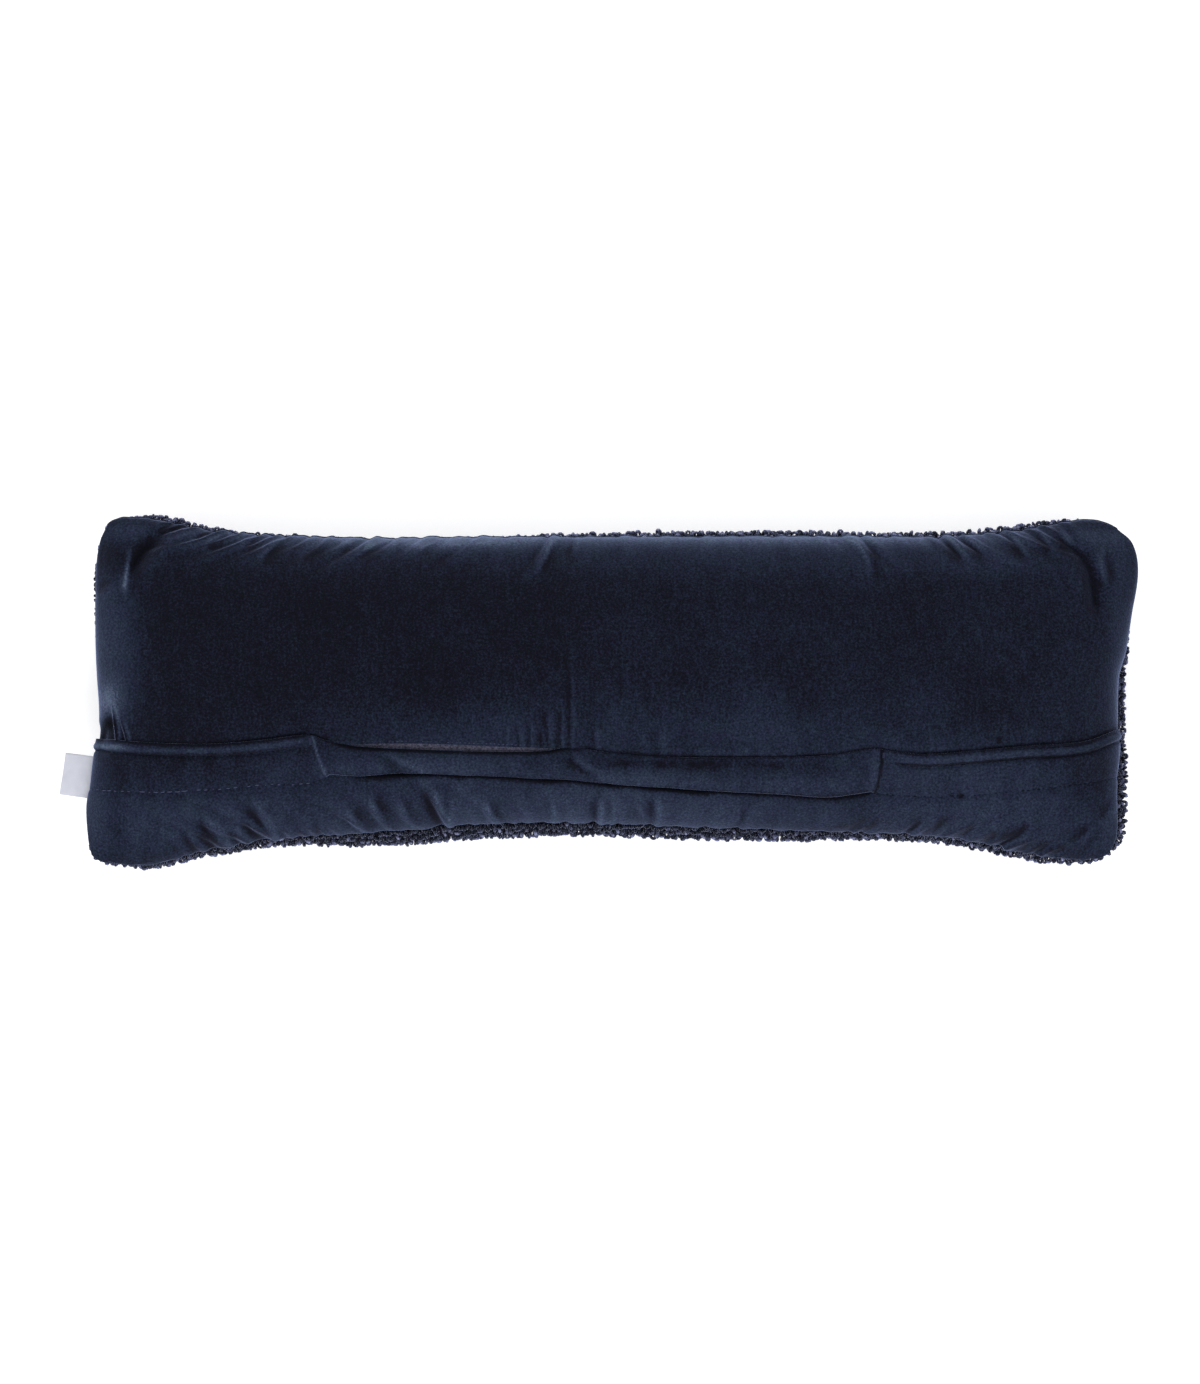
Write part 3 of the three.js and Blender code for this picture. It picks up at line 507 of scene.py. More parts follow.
# Materials
SHEEN = 0.8
SHEEN_ROUGHNESS = 0.32
VELVET_TONE_COLOURS = [              # the velvet's colour by tone: painted shade at the low end, crushed to brushed pile in the middle, brushed pile and painted sheen at the top
    (0.00, (0.0004, 0.0005, 0.0012)), (0.40, (0.0040, 0.0042, 0.0084)), (0.50, (0.0076, 0.0104, 0.0215)),
    (0.64, (0.0145, 0.0200, 0.0385)), (0.80, (0.0245, 0.0340, 0.0600)), (1.00, (0.0620, 0.0800, 0.1280))]


def node(tree, kind, inputs=(), **settings):
    made = tree.nodes.new(kind)
    for key, value in settings.items():
        setattr(made, key, value)
    for key, value in dict(inputs).items():
        if isinstance(value, bpy.types.NodeSocket):
            tree.links.new(value, made.inputs[key])
        else:
            made.inputs[key].default_value = value
    return made


def ramp(tree, factor, stops):
    made = node(tree, "ShaderNodeValToRGB", {"Fac": factor})
    elements = made.color_ramp.elements
    while len(elements) < len(stops):
        elements.new(0.5)
    for element, (position, colour) in zip(elements, stops):
        element.position = position
        element.color = (*colour, 1)
    return made.outputs["Color"]


def noise(tree, place, scale, detail=3.0, roughness=0.55):
    made = node(tree, "ShaderNodeTexNoise", {
        "Vector": place, "Scale": scale, "Detail": detail, "Roughness": roughness})
    return made.outputs["Fac"]


def maths(tree, operation, a, b=0.0):
    made = node(tree, "ShaderNodeMath", {0: a, 1: b}, operation=operation)
    return made.outputs["Value"]


def threads(tree, place, scale, unevenness, direction="X"):
    """Parallel threads of a weave."""
    made = node(tree, "ShaderNodeTexWave", {"Vector": place, "Scale": scale, "Distortion": unevenness},
                bands_direction=direction)
    return made.outputs["Fac"]


def relief(tree, shader, height, strength, depth):
    bump = node(tree, "ShaderNodeBump", {"Height": height, "Strength": strength, "Distance": depth})
    tree.links.new(bump.outputs["Normal"], shader.inputs["Normal"])


def surface(name, roughness, sheen=0.0, sheen_roughness=0.5, tint=(1, 1, 1), specular=0.3):
    """A material with its node tree, main shader and object coordinates."""
    material = bpy.data.materials.new(name)
    material.use_nodes = True
    tree = material.node_tree
    shader = tree.nodes["Principled BSDF"]
    shader.inputs["Roughness"].default_value = roughness
    shader.inputs["Specular IOR Level"].default_value = specular
    shader.inputs["Sheen Weight"].default_value = sheen
    shader.inputs["Sheen Roughness"].default_value = sheen_roughness
    shader.inputs["Sheen Tint"].default_value = (*tint, 1)
    place = node(tree, "ShaderNodeTexCoord").outputs["Object"]
    return material, tree, shader, place


def velvet_material():
    material, tree, shader, place = surface(
        "velvet", 0.9, sheen=SHEEN, sheen_roughness=SHEEN_ROUGHNESS, tint=(0.42, 0.52, 0.90), specular=0.05)
    tone = node(tree, "ShaderNodeAttribute", attribute_name="tone").outputs["Fac"]
    upright = node(tree, "ShaderNodeMapping", {"Vector": place, "Scale": (1.0, 0.2, 0.2)}).outputs["Vector"]
    grain = noise(tree, place, 800.0, 2.0, 0.7)
    mix = maths(tree, "ADD", tone, 1.0)
    for part, share in (
            (grain, 1.1), (noise(tree, upright, 560.0, 2.0), 0.35), (noise(tree, place, 95.0, 3.0), 0.12),
            (noise(tree, place, 24.0, 3.0), 0.12)):
        mix = maths(tree, "ADD", mix, maths(tree, "MULTIPLY", maths(tree, "SUBTRACT", part, 0.5), share))
    colour = ramp(tree, maths(tree, "MULTIPLY", mix, 0.4), VELVET_TONE_COLOURS)
    sparkle = maths(tree, "ADD", maths(tree, "MULTIPLY", grain, 1.3), 0.35)
    scaled = node(tree, "ShaderNodeVectorMath", {0: colour, "Scale": sparkle}, operation="SCALE")
    turn = maths(tree, "ADD", maths(tree, "MULTIPLY", noise(tree, place, 130.0, 3.0), 0.07), 0.465)
    tinted = node(tree, "ShaderNodeHueSaturation", {"Color": scaled.outputs["Vector"], "Hue": turn})
    tree.links.new(tinted.outputs["Color"], shader.inputs["Base Color"])
    relief(tree, shader, grain, 0.45, 0.0006)
    return material


def yarn_material():
    material, tree, shader, place = surface(
        "looped_yarn", 0.95, sheen=0.5, sheen_roughness=0.5, tint=(0.60, 0.66, 0.98), specular=0.08)
    tone = node(tree, "ShaderNodeAttribute", attribute_name="tone").outputs["Fac"]
    colour = ramp(tree, tone, [
        (0.0, (0.0008, 0.0009, 0.0026)), (0.4, (0.0090, 0.0100, 0.0235)), (0.7, (0.0540, 0.0590, 0.1180)),
        (1.0, (0.2500, 0.2650, 0.4300))])
    fibre = noise(tree, place, 1300.0, 2.0)
    shade = maths(tree, "ADD", maths(tree, "MULTIPLY", fibre, 1.4), 0.3)
    scaled = node(tree, "ShaderNodeVectorMath", {0: colour, "Scale": shade}, operation="SCALE")
    tree.links.new(scaled.outputs["Vector"], shader.inputs["Base Color"])
    around = node(tree, "ShaderNodeUVMap").outputs["UV"]
    split = node(tree, "ShaderNodeSeparateXYZ", {"Vector": around})
    turn = maths(tree, "ADD", maths(tree, "MULTIPLY", split.outputs["X"], 3.2), split.outputs["Y"])
    ply = maths(tree, "ABSOLUTE", maths(tree, "SINE", maths(tree, "MULTIPLY", turn, 2 * math.pi)))
    height = maths(tree, "ADD", ply, maths(tree, "MULTIPLY", fibre, 0.7))
    relief(tree, shader, height, 0.9, 0.0006)
    return material


def backing_material():
    material, tree, shader, place = surface("backing", 1.0, specular=0.1)
    weave = threads(tree, place, 260.0, 1.0)
    tree.links.new(ramp(tree, weave, [(0.0, (0.004, 0.004, 0.008)), (1.0, (0.012, 0.013, 0.026))]),
                   shader.inputs["Base Color"])
    return material


def thread_material(name, colour):
    material, tree, shader, place = surface(name, 0.9, specular=0.04)
    fibre = noise(tree, place, 2500.0)
    dark = tuple(0.6 * channel for channel in colour)
    tree.links.new(ramp(tree, fibre, [(0.3, dark), (0.7, colour)]), shader.inputs["Base Color"])
    return material


def tape_material():
    material, tree, shader, place = surface("tape", 0.85, sheen=0.2, tint=(0.8, 0.75, 0.95), specular=0.12)
    ribs = threads(tree, place, 420.0, 0.6)
    weave = maths(tree, "MULTIPLY", ribs, threads(tree, place, 300.0, 0.8, "Y"))
    flecks = noise(tree, place, 900.0, 2.0)
    mix = maths(tree, "ADD", maths(tree, "MULTIPLY", weave, 0.3), maths(tree, "MULTIPLY", flecks, 0.8))
    tree.links.new(ramp(tree, mix, [(0.30, (0.014, 0.014, 0.026)), (0.72, (0.125, 0.121, 0.180))]),
                   shader.inputs["Base Color"])
    relief(tree, shader, weave, 0.7, 0.0004)
    return material


def label_material():
    material, tree, shader, place = surface("label_cloth", 0.55, sheen=0.25, specular=0.4)
    warp = threads(tree, place, 700.0, 0.3)
    weave = maths(tree, "MULTIPLY", warp, threads(tree, place, 520.0, 0.3, "Y"))
    soft = noise(tree, place, 150.0)
    mix = maths(tree, "ADD", maths(tree, "MULTIPLY", weave, 0.5), maths(tree, "MULTIPLY", soft, 0.5))
    tree.links.new(ramp(tree, mix, [(0.1, (0.49, 0.50, 0.57)), (0.6, (0.64, 0.65, 0.72))]),
                   shader.inputs["Base Color"])
    relief(tree, shader, weave, 0.5, 0.0003)
    return material


VELVET_CLOTH = velvet_material()
YARN = yarn_material()
BACKING = backing_material()
TAPE_CLOTH = tape_material()
LABEL_CLOTH = label_material()
NAVY_THREAD = thread_material("navy_thread", (0.060, 0.067, 0.122))
TACK_THREAD = thread_material("tack_thread", (0.024, 0.028, 0.056))
DARK_THREAD = thread_material("dark_thread", (0.0040, 0.0048, 0.0110))


# Velvet back: the upper panel, from under the lap to the far seam
SEAM_TURN = table("out down", [        # out of the edge in millimetres, share of the way down
    (0.25, 0.12), (0.30, 0.34), (0.15, 0.60), (-0.15, 0.84), (-0.85, 0.97), (-2.10, 1.0)])


def seam_roll(grid, away):
    """Rows that carry a panel's outer edge down to the seam and in under itself."""
    edge = grid[-1]
    drop = np.maximum(edge[:, 2:] - SEAM_HEIGHT - 0.3, 1.2) * np.array([0, 0, 1])
    rows = [edge + away * row["out"] - drop * row["down"] for row in SEAM_TURN]
    return np.concatenate([grid, np.stack(rows)])


def edge_away(points):
    """Level direction out of an edge that runs along X, with +Y on its left."""
    run = np.gradient(points, axis=0)
    return unit(np.stack([-run[:, 1], run[:, 0], np.zeros(len(run))], axis=-1))


def upper_panel(columns=640, rows=136):
    share = shares(columns)
    grid = []
    under = []
    for t in np.linspace(0, 1, rows):
        climb = math.sin(t * math.pi / 2) ** 0.95

        def place(x):
            start = read(PLACKET, "fold", x) + read(PLACKET, "panel", x)
            return start + (far_seam(x) - start) * climb

        x, y = settle(share, place)
        above = y - (read(PLACKET, "fold", x) + read(PLACKET, "panel", x))
        shown = smooth(read(PLACKET, "panel", x), -1.0, 0.5)
        lift = shown * PANEL_LIFT * (1 - smooth(above, 3.0, 11.0))
        hem = 0.5 * shown * bell(above, 2.2, 1.0)
        soft = gathers(x, y) * smooth(above, -1, 6)
        marks = UPPER_RELIEF * crease_marks(x, y, UPPER_CREASES)[0] * smooth(above, -1, 3)
        grid.append(on_filling(x, y, VELVET + soft + marks + lift + hem))
    grid = np.array(grid)
    first, second = grid[0], grid[1]
    for k in range(1, ROLLED + 1):
        angle = math.pi * 0.9 * k / ROLLED
        slide = unit(first - second) * FOLD_RADIUS * math.sin(angle)
        sink = outwards(first[:, 0], first[:, 1]) * FOLD_RADIUS * (1 - math.cos(angle))
        under.append(first + slide - sink)
    return np.concatenate([np.array(under[::-1]), grid])


def with_outer_roll(grid, left_away, right_away):
    """Adds the short ends' rolled edges as columns."""
    turned = np.swapaxes(grid, 0, 1)
    turned = seam_roll(turned, right_away)
    turned = seam_roll(turned[::-1], left_away)[::-1]
    return np.swapaxes(turned, 0, 1)


def level(vector):
    flat = vector.copy()
    flat[..., 2] = 0
    return unit(flat)


def side_away(grid, column, inner):
    return level(grid[:, column] - grid[:, inner])


def rolled_in(grid):
    """How far each row and column has rolled in under a seam, from 0 to 1."""
    rows, columns = grid.shape[:2]
    row, column = np.arange(rows)[:, None], np.arange(columns)[None, :]
    to_edge = np.minimum(np.minimum(row, rows - 1 - row), np.minimum(column, columns - 1 - column))
    return (np.clip(ROLLED - to_edge, 0, ROLLED) / ROLLED) ** 2


def upper_tone(grid):
    """Painted shade on the upper panel: a shadow line where the lap's fold stands over it, and darker rows
    where it rolls in under the seams.
    """
    x, y = grid[..., 0], grid[..., 1]
    above = y - read(PLACKET, "fold", x)
    lapped = 1 - smooth(read(PLACKET, "panel", x), -1.5, 0.5)
    shade = 0.5 * lapped * bell(above, 0.1, 0.9) + 0.7 * rolled_in(grid)
    return pile_and_painted_light(x, y, UPPER_CREASES) - shade


upper_grid = upper_panel()
upper_grid = seam_roll(upper_grid, edge_away(upper_grid[-1]))
upper_grid = with_outer_roll(upper_grid, side_away(upper_grid, 0, 6), side_away(upper_grid, -1, -7))
back_upper = sheet_of("velvet_back_upper", upper_grid, VELVET_CLOTH, tone=upper_tone(upper_grid))


# Velvet back: the lower panel with its hem, lapped up over the zip
def slants(s):
    """Where on X the puffed lap's left and right ends are, s from 0 at its foot to 1."""
    return OPENING["left"] + LEFT_SLANT * (1 - s), OPENING["right"] - RIGHT_SLANT * (1 - s) ** 2


def lap_puff(x, s):
    """How open the lap is, and how far it puffs out, between its slanting ends."""
    left, right = slants(s)
    open_part = smooth(x, left - 1.0, left + 2.5) * (1 - smooth(x, right - 1.4, right + 0.2))
    return open_part, read(PLACKET, "puff", x) * open_part


def rolled_fold(x):
    """Where the closed lap's fold lies rolled: left part and right part, tapering in."""
    return smooth(-x, 171, 184), smooth(x, 153, 168)


def foot_gap(x):
    """How deep the crevice under the puffed lap's foot is, from 0 to 1."""
    return smooth(x, -154, -112) ** 0.6 * (1 - smooth(x, 144, 149)) * (1 - 0.62 * smooth(x, 20, 90))


def lap_seam(x):
    """The hem stitch, tucked a little way under the puffed lap."""
    return read(PLACKET, "hem", x) + LAP_TUCK * lap_puff(x, 0.0)[0] * (1 - 0.5 * smooth(x, 20, 90))


def end_lines(x, s):
    """Distance to the right of the slanting ends of the puffed lap, left end then right."""
    left, right = slants(s)
    return x - (left + 0.6), x - (right - 0.4)


def lap_light_and_shade(x, y, s):
    """Painted light and shade on the lap: lines on the folds of its closed parts, tape gap, ends, foot."""
    open_part = lap_puff(x, s)[0]
    below = read(PLACKET, "fold", x) - y
    left, right = rolled_fold(x)
    taped = smooth(read(PLACKET, "panel", x), -1.0, 1.5)
    past_left, past_right = end_lines(x, s)
    # painted highlight on the rolled fold of the closed left part, with painted shadow lines above and below
    # it
    tone = left * (0.60 * bell(below, 3.6, 1.7) - 0.5 * bell(below, 0.3, 0.6) - 0.2 * bell(below, 6.0, 0.8))
    # painted sheen on the closed lap close to the left seam
    tone = tone + 0.8 * smooth(-x, 272, 287) * bell(below, 3.2, 3.0)
    # painted highlight on the closed right part's roll, painted shade at its fold and in the edge stitch's
    # groove
    tone = tone + right * (0.3 * bell(below, 3.2, 0.9) + 0.2 * bell(below, 4.6, 1.8))
    tone = tone - right * (0.35 * bell(below, 1.0, 0.5) + 1.1 * bell(below, EDGE_STITCH, 0.55))
    # painted shade in the gap between the tape and the lap's fold
    tone = tone - 1.3 * taped * open_part * bell(below, 0.3, 1.5)
    # painted highlight at the puffed lap's left end, painted shadow and light at its right end
    tone = tone + 0.9 * bell(past_left, 0.3, 0.8) * smooth(s, 0.0, 0.2)
    tone = tone - 1.1 * bell(past_right, 0.2, 0.7) + 0.3 * bell(past_right, -3.2, 1.8)
    # painted shade that dims the sheen where the puffed lap rises from its foot, and a painted shadow under
    # the foot
    tone = tone - 0.25 * open_part * bell(s, 0.10, 0.05)
    tone = tone - 0.6 * smooth(x, 70, 100) * (1 - smooth(x, 146, 152)) * bell(s, 0.07, 0.03)
    return tone - 1.6 * foot_gap(x) ** 0.4 * (1 - smooth(s, 0.03, 0.07))


def below_seam_shade(x, to_hem):
    """Painted shade in the crevice under the puffed lap's foot, on the lower panel."""
    narrow = smooth(x, 20, 90)
    uneven = 1 + 0.25 * waves(x, 0 * x, 16.0, seed=21)
    return -1.7 * foot_gap(x) * bell(to_hem, 1.2 - 0.6 * narrow, (2.5 - 0.8 * narrow) * uneven)


def lap_folds(x, s):
    height = np.zeros_like(x)
    for row in LAP_FOLDS:
        middle = row["foot"] + (row["top"] - row["foot"]) * s
        height = height + row["height"] * bell(x, middle, row["width"])
    return height


def lap_point(share, s):
    """The lap's outer face, s from 0 at the hem stitch to 1 at the fold."""
    share = np.asarray(share, float)

    def place(x):
        seam = lap_seam(x)
        return seam + (read(PLACKET, "fold", x) - seam) * s

    x, y = settle(share, place)
    open_part, puff = lap_puff(x, s)
    climb = smooth(s, 0.0, 0.75)
    closed = VELVET + (LAP_CLEAR - VELVET) * climb
    depth = read(PLACKET, "fold", x) - read(PLACKET, "hem", x)
    below = (1 - s) * depth
    left, right = rolled_fold(x)
    roll = (left + right) * (1.1 * bell(below, 3.6, 1.7) - 1.0 * bell(below, EDGE_STITCH, 0.7))
    roll = roll - 0.5 * right * bell(below, 1.0, 0.5)
    dip = -(0.35 + 1.9 * foot_gap(x)) * math.exp(-((s / 0.05) ** 2))
    if s < FOOT_TURN:
        swell = math.sin(math.pi * s / FOOT_TURN / 2)
    else:
        swell = abs(math.cos(math.pi * (s - FOOT_TURN) / (1 - FOOT_TURN) / 2)) ** 0.8
    height = closed + dip + roll
    height = height + puff * swell + lap_folds(x, s) * open_part * math.sin(math.pi * s) ** 0.6
    height = height + 0.9 * bell(end_lines(x, s)[0], 0.3, 0.9) * math.sin(math.pi * s) ** 0.5
    height = height + 0.18 * waves(x, y, 22.0, seed=9) + LOWER_RELIEF * crease_marks(x, y, LOWER_CREASES)[0]
    point = on_filling(x, y, height)
    over = LAP_OVERHANG * math.sin(math.pi * min(1.0, s / FOOT_TURN / 2)) * np.minimum(1, puff / 4)
    point[..., 1] -= open_part * over
    return point


def lower_point(share, climb):
    """The lower panel below the lap, climb from 0 at the near seam to 1 at the hem stitch."""
    def place(x):
        return near_seam(x) + (lap_seam(x) - near_seam(x)) * climb

    x, y = settle(np.asarray(share, float), place)
    to_hem = lap_seam(x) - y
    soft = gathers(x, y) * smooth(to_hem, -0.5, 5.0)
    marks = LOWER_RELIEF * crease_marks(x, y, LOWER_CREASES)[0] * smooth(to_hem, 0.0, 2.5)
    dip = -(0.35 + 1.9 * foot_gap(x)) * bell(to_hem, 0.0, 0.9 + 0.9 * foot_gap(x))
    return on_filling(x, y, VELVET + soft + marks + dip)


def lower_panel(columns=640):
    """The lower panel's points, and how light it is: pile tone with painted light and shade."""
    share = shares(columns)
    climbs = 1 - np.cos(np.linspace(0, 1, 38) * math.pi / 2) ** 0.8
    climbs = np.concatenate([climbs[climbs < 0.84], np.linspace(0.84, 1, 14)])
    grid, tone = [], []
    for climb in climbs:
        points = lower_point(share, climb)
        x, y = points[:, 0], points[:, 1]
        grid.append(points)
        tone.append(pile_and_painted_light(x, y, LOWER_CREASES) + below_seam_shade(x, lap_seam(x) - y))
    for s in np.concatenate([np.linspace(0, FOOT_TURN, 15)[1:], np.linspace(FOOT_TURN, 1, 30)[1:]]):
        points = lap_point(share, s)
        x, y = points[:, 0], points[:, 1]
        grid.append(points)
        tone.append(pile_and_painted_light(x, y, LOWER_CREASES) + lap_light_and_shade(x, y, s))
    last, before = grid[-1], grid[-2]
    down = outwards(last[:, 0], last[:, 1])
    onward = unit(last - before)
    # rows turning in under the fold, a little darker each: painted shade
    for k in range(1, ROLLED + 1):
        angle = math.pi * k / ROLLED
        turned = last + onward * FOLD_RADIUS * math.sin(angle)
        grid.append(turned - down * FOLD_RADIUS * (1 - math.cos(angle)))
        tone.append(tone[-1] - 0.1)
    grid.append(grid[-1] - onward * 3.0)
    tone.append(tone[-1])
    return np.array(grid), np.array(tone)


def padded_rows(tone, rows, columns):
    """Repeats a table's outer rows and columns out to a larger grid's."""
    more = (rows - tone.shape[0], columns - tone.shape[1])
    return np.pad(tone, ((more[0], 0), (more[1] // 2, more[1] // 2)), mode="edge")


lower_grid, lower_tone = lower_panel()
lower_grid = seam_roll(lower_grid[::-1], -edge_away(lower_grid[0]))[::-1]
lower_grid = with_outer_roll(lower_grid, side_away(lower_grid, 0, 6), side_away(lower_grid, -1, -7))
# painted shade where the edges roll in under the seams
lower_tone = padded_rows(lower_tone, *lower_grid.shape[:2]) - 0.7 * rolled_in(lower_grid)
back_lower = sheet_of("velvet_back_lower", lower_grid, VELVET_CLOTH, tone=lower_tone)


# Zip tape, shown between the lap's fold and the upper panel's edge
def tape_grid(columns=260, rows=9):
    x = np.linspace(OPENING["left"] + TAPE_SHORT, OPENING["right"] - TAPE_SHORT, columns)
    fold = read(PLACKET, "fold", x)
    edge = fold + read(PLACKET, "panel", x)
    grid = []
    for t in np.linspace(0, 1, rows):
        y = (fold - TAPE_UNDER) + (edge - fold + 2 * TAPE_UNDER) * t
        ridge = 0.25 * np.sin(x * 2.4)
        grid.append(on_filling(x, y, TAPE_FACE + 0.12 * ridge))
    return np.array(grid)


zip_tape = sheet_of("zip_tape_woven", tape_grid(), TAPE_CLOTH)


# Sewing: each stitch a short bent tube, its ends sunk in the cloth
def tubes(name, centres, sides_out, radius, material, around=6, tone=None, taper=None):
    """Tubes along many short centre lines: centres is (count, rings, 3)."""
    count, rings = centres.shape[:2]
    along = unit(np.gradient(centres, axis=1))
    first = unit(np.cross(along, sides_out))
    second = np.cross(first, along)
    angle = np.arange(around) * 2 * math.pi / around
    radius = np.broadcast_to(radius, (count,))[:, None] * (np.ones(rings) if taper is None else taper)
    swing = (first[:, :, None] * np.cos(angle)[None, None, :, None]
             + second[:, :, None] * np.sin(angle)[None, None, :, None])
    points = centres[:, :, None] + swing * radius[:, :, None, None]
    faces = grid_faces(rings, around, wrap=True)
    faces = (faces[None] + (np.arange(count) * rings * around)[:, None, None]).reshape(-1, 4)
    u = np.broadcast_to(np.linspace(0, 1, rings)[None, :, None], points.shape[:3])
    v = np.broadcast_to((np.arange(around) / around)[None, None, :], points.shape[:3])
    shade = None if tone is None else np.broadcast_to(tone[:, :, None], points.shape[:3])
    return mesh_of(name, points, faces, material, uv=np.stack([u, v], axis=-1), tone=shade)


def lengths_to(line):
    """Length along a line of points, up to each of them."""
    return np.concatenate([[0], np.cumsum(np.linalg.norm(np.diff(line, axis=0), axis=1))])


def at_length(place, run, values):
    return np.stack([np.interp(place, run, values[:, k]) for k in range(3)], axis=-1)


def sew(name, line, up, pitch=3.1, length=2.3, radius=0.28, rise=0.25, sunk=0.3, material=NAVY_THREAD):
    """Stitches along a dense line of points, each a little off its place and sunk up to a depth."""
    run = lengths_to(line)
    starts = np.arange(0.3, run[-1] - 1.3 * length, pitch)
    pick = np.random.default_rng(len(starts))
    t = np.linspace(0, 1, 5)
    lengths = length * pick.uniform(0.6, 1.15, len(starts))
    place = (starts + pick.uniform(0, 0.15, len(starts)) * pitch)[:, None] + lengths[:, None] * t[None, :]
    centres = at_length(place, run, line)
    lift = at_length(place, run, up)
    depth = pick.uniform(0.1, sunk, len(starts))[:, None]
    centres = centres + lift * (rise * np.sin(math.pi * t)[None, :] - depth)[..., None]
    aside = pick.normal(0, 0.18, (len(starts), 1))
    askew = pick.normal(0, 0.2, (len(starts), 1))
    centres[..., 1] += aside + askew * (t - 0.5)
    return tubes(name, centres, lift, radius, material, taper=STITCH_ENDS)


def line_on_lap(x_from, x_to, s):
    """Points and upward directions along the lap between two places on X."""
    share = np.linspace(0, 1, 4000)
    points = lap_point(share, s)
    keep = (points[:, 0] > x_from) & (points[:, 0] < x_to)
    points = points[keep]
    return points, outwards(points[:, 0], points[:, 1])


SEWN = {"left": -299.0, "right": 289.0}      # ends of the seams across the closed lap
PANEL_SEWN = (-144.0, -50.0)                 # where the upper panel's stitches show


def sew_placket():
    hem_left = line_on_lap(SEWN["left"], OPENING["left"] + LEFT_SLANT, 0.0)
    hem_right = line_on_lap(OPENING["right"] - RIGHT_SLANT, SEWN["right"], 0.0)
    plain = {"material": DARK_THREAD, "rise": 0.1}
    sew("hem_stitches_left", *hem_left, pitch=4.2, length=3.4, radius=0.36, rise=0.35, sunk=0.72)
    sew("hem_stitches_right", *hem_right, **plain)
    depth_share = 1 - EDGE_STITCH / LAP_DEPTH
    sew("edge_stitches_left", *line_on_lap(SEWN["left"], OPENING["left"] - 1, depth_share), **plain)
    sew("edge_stitches_right", *line_on_lap(OPENING["right"] + 1, SEWN["right"], depth_share), **plain)
    x = np.linspace(*PANEL_SEWN, 400)
    y = read(PLACKET, "fold", x) + read(PLACKET, "panel", x) + 1.0
    top = on_filling(x, y, VELVET + PANEL_LIFT + 0.3)
    sew("panel_edge_stitches", top, outwards(x, y), pitch=2.4, length=1.2, radius=0.24)


def bar_tack(name, x_top, x_foot, s_top, s_foot):
    """A dense bar of stitches across the end of the opening."""
    rows = []
    for s in np.linspace(s_foot, s_top, 14):
        share = np.linspace(0, 1, 4000)
        points = lap_point(share, s)
        middle = x_foot + (x_top - x_foot) * (s - s_foot) / (s_top - s_foot)
        k = np.argmin(np.abs(points[:, 0] - middle))
        rows.append(points[k])
    rows = np.array(rows)
    up = outwards(rows[:, 0], rows[:, 1])
    across = np.array([1.0, 0.15, 0.0])
    t = np.linspace(-1, 1, 5)
    centres = rows[:, None] + across * (0.8 * t)[None, :, None]
    centres = centres + up[:, None] * (0.45 * np.cos(math.pi * t / 2) - 0.1)[None, :, None]
    lift = np.broadcast_to(up[:, None], centres.shape)
    return tubes(name, centres, lift, 0.25, TACK_THREAD, taper=STITCH_ENDS)


sew_placket()
bar_tack("bar_tack_left", OPENING["left"] - 0.6, OPENING["left"] - 0.2, 0.97, 0.84)
bar_tack("bar_tack_right", OPENING["right"] + 0.8, OPENING["right"] + 0.8, 0.97, 0.86)


# Label: two layers of woven ribbon from the left seam, folded at the outer end
LABEL = {
    "out": 17.3, "tuck": 1.1, "height": 24.3, "middle": -51.0, "tilt": 0.135, "gap": 0.35, "thick": 0.35}


def label_piece():
    root = float(read(LEFT_EDGE, "seam", np.array(LABEL["middle"]))) + LABEL["tuck"]
    out = LABEL["out"] + LABEL["tuck"]
    up_steps, profile = 17, []
    for t in np.linspace(0, 1, 14):
        profile.append((out * t, 0.5 * LABEL["gap"] + 0.12 * math.sin(3 * t)))
    for k in range(1, 8):
        angle = math.pi * k / 8
        profile.append((out + 0.5 * math.sin(angle), (0.5 * LABEL["gap"] + 0.05) * math.cos(angle)))
    for t in np.linspace(1, 0, 14):
        profile.append((out * t, -0.5 * LABEL["gap"] - 0.25 * math.sin(2 * t)))
    profile = np.array(profile)
    rise = np.linspace(-0.5, 0.5, up_steps) * LABEL["height"]
    far, high = profile[:, 0][None, :], profile[:, 1][None, :]
    rise = rise[:, None]
    share = far / out
    droop = 1.9 * share ** 2 + 0.5 * share * np.sin(rise * 0.16 + 0.6)
    droop = droop + 0.35 * share ** 2 * np.cos(rise * 0.3)
    x = root - far + LABEL["tilt"] * rise
    y = LABEL["middle"] + rise + LABEL["tilt"] * far
    z = SEAM_HEIGHT + 1.6 - droop + high
    grid = np.stack([x, y, z + 0 * x], axis=-1)
    piece = sheet_of("label_folded", grid, LABEL_CLOTH)
    thick = piece.modifiers.new("thickness", "SOLIDIFY")
    thick.thickness = LABEL["thick"] * MM
    thick.offset = 1
    return piece


label = label_piece()


# Hooked front: its backing cloth filled out as a closed body, and the loops on it
LOOP = 3.0                   # how far a loop stands off the backing
LOOP_ROOT = 0.9              # how far its ends sink into the backing
BASE_FLOOR = 2.6             # backing above the resting plane where the loops lie squashed
RIM_DROP = 6.0               # widest line of the backing below the seam
RIM_TOP = 0.8                # top of the backing's side below the seam
UNDER_VELVET = 2.4           # how far the backing goes in under the velvet


def clustered(count, power=1.9):
    t = np.linspace(-1, 1, count)
    return np.sign(t) * (1 - (1 - np.abs(t)) ** power)


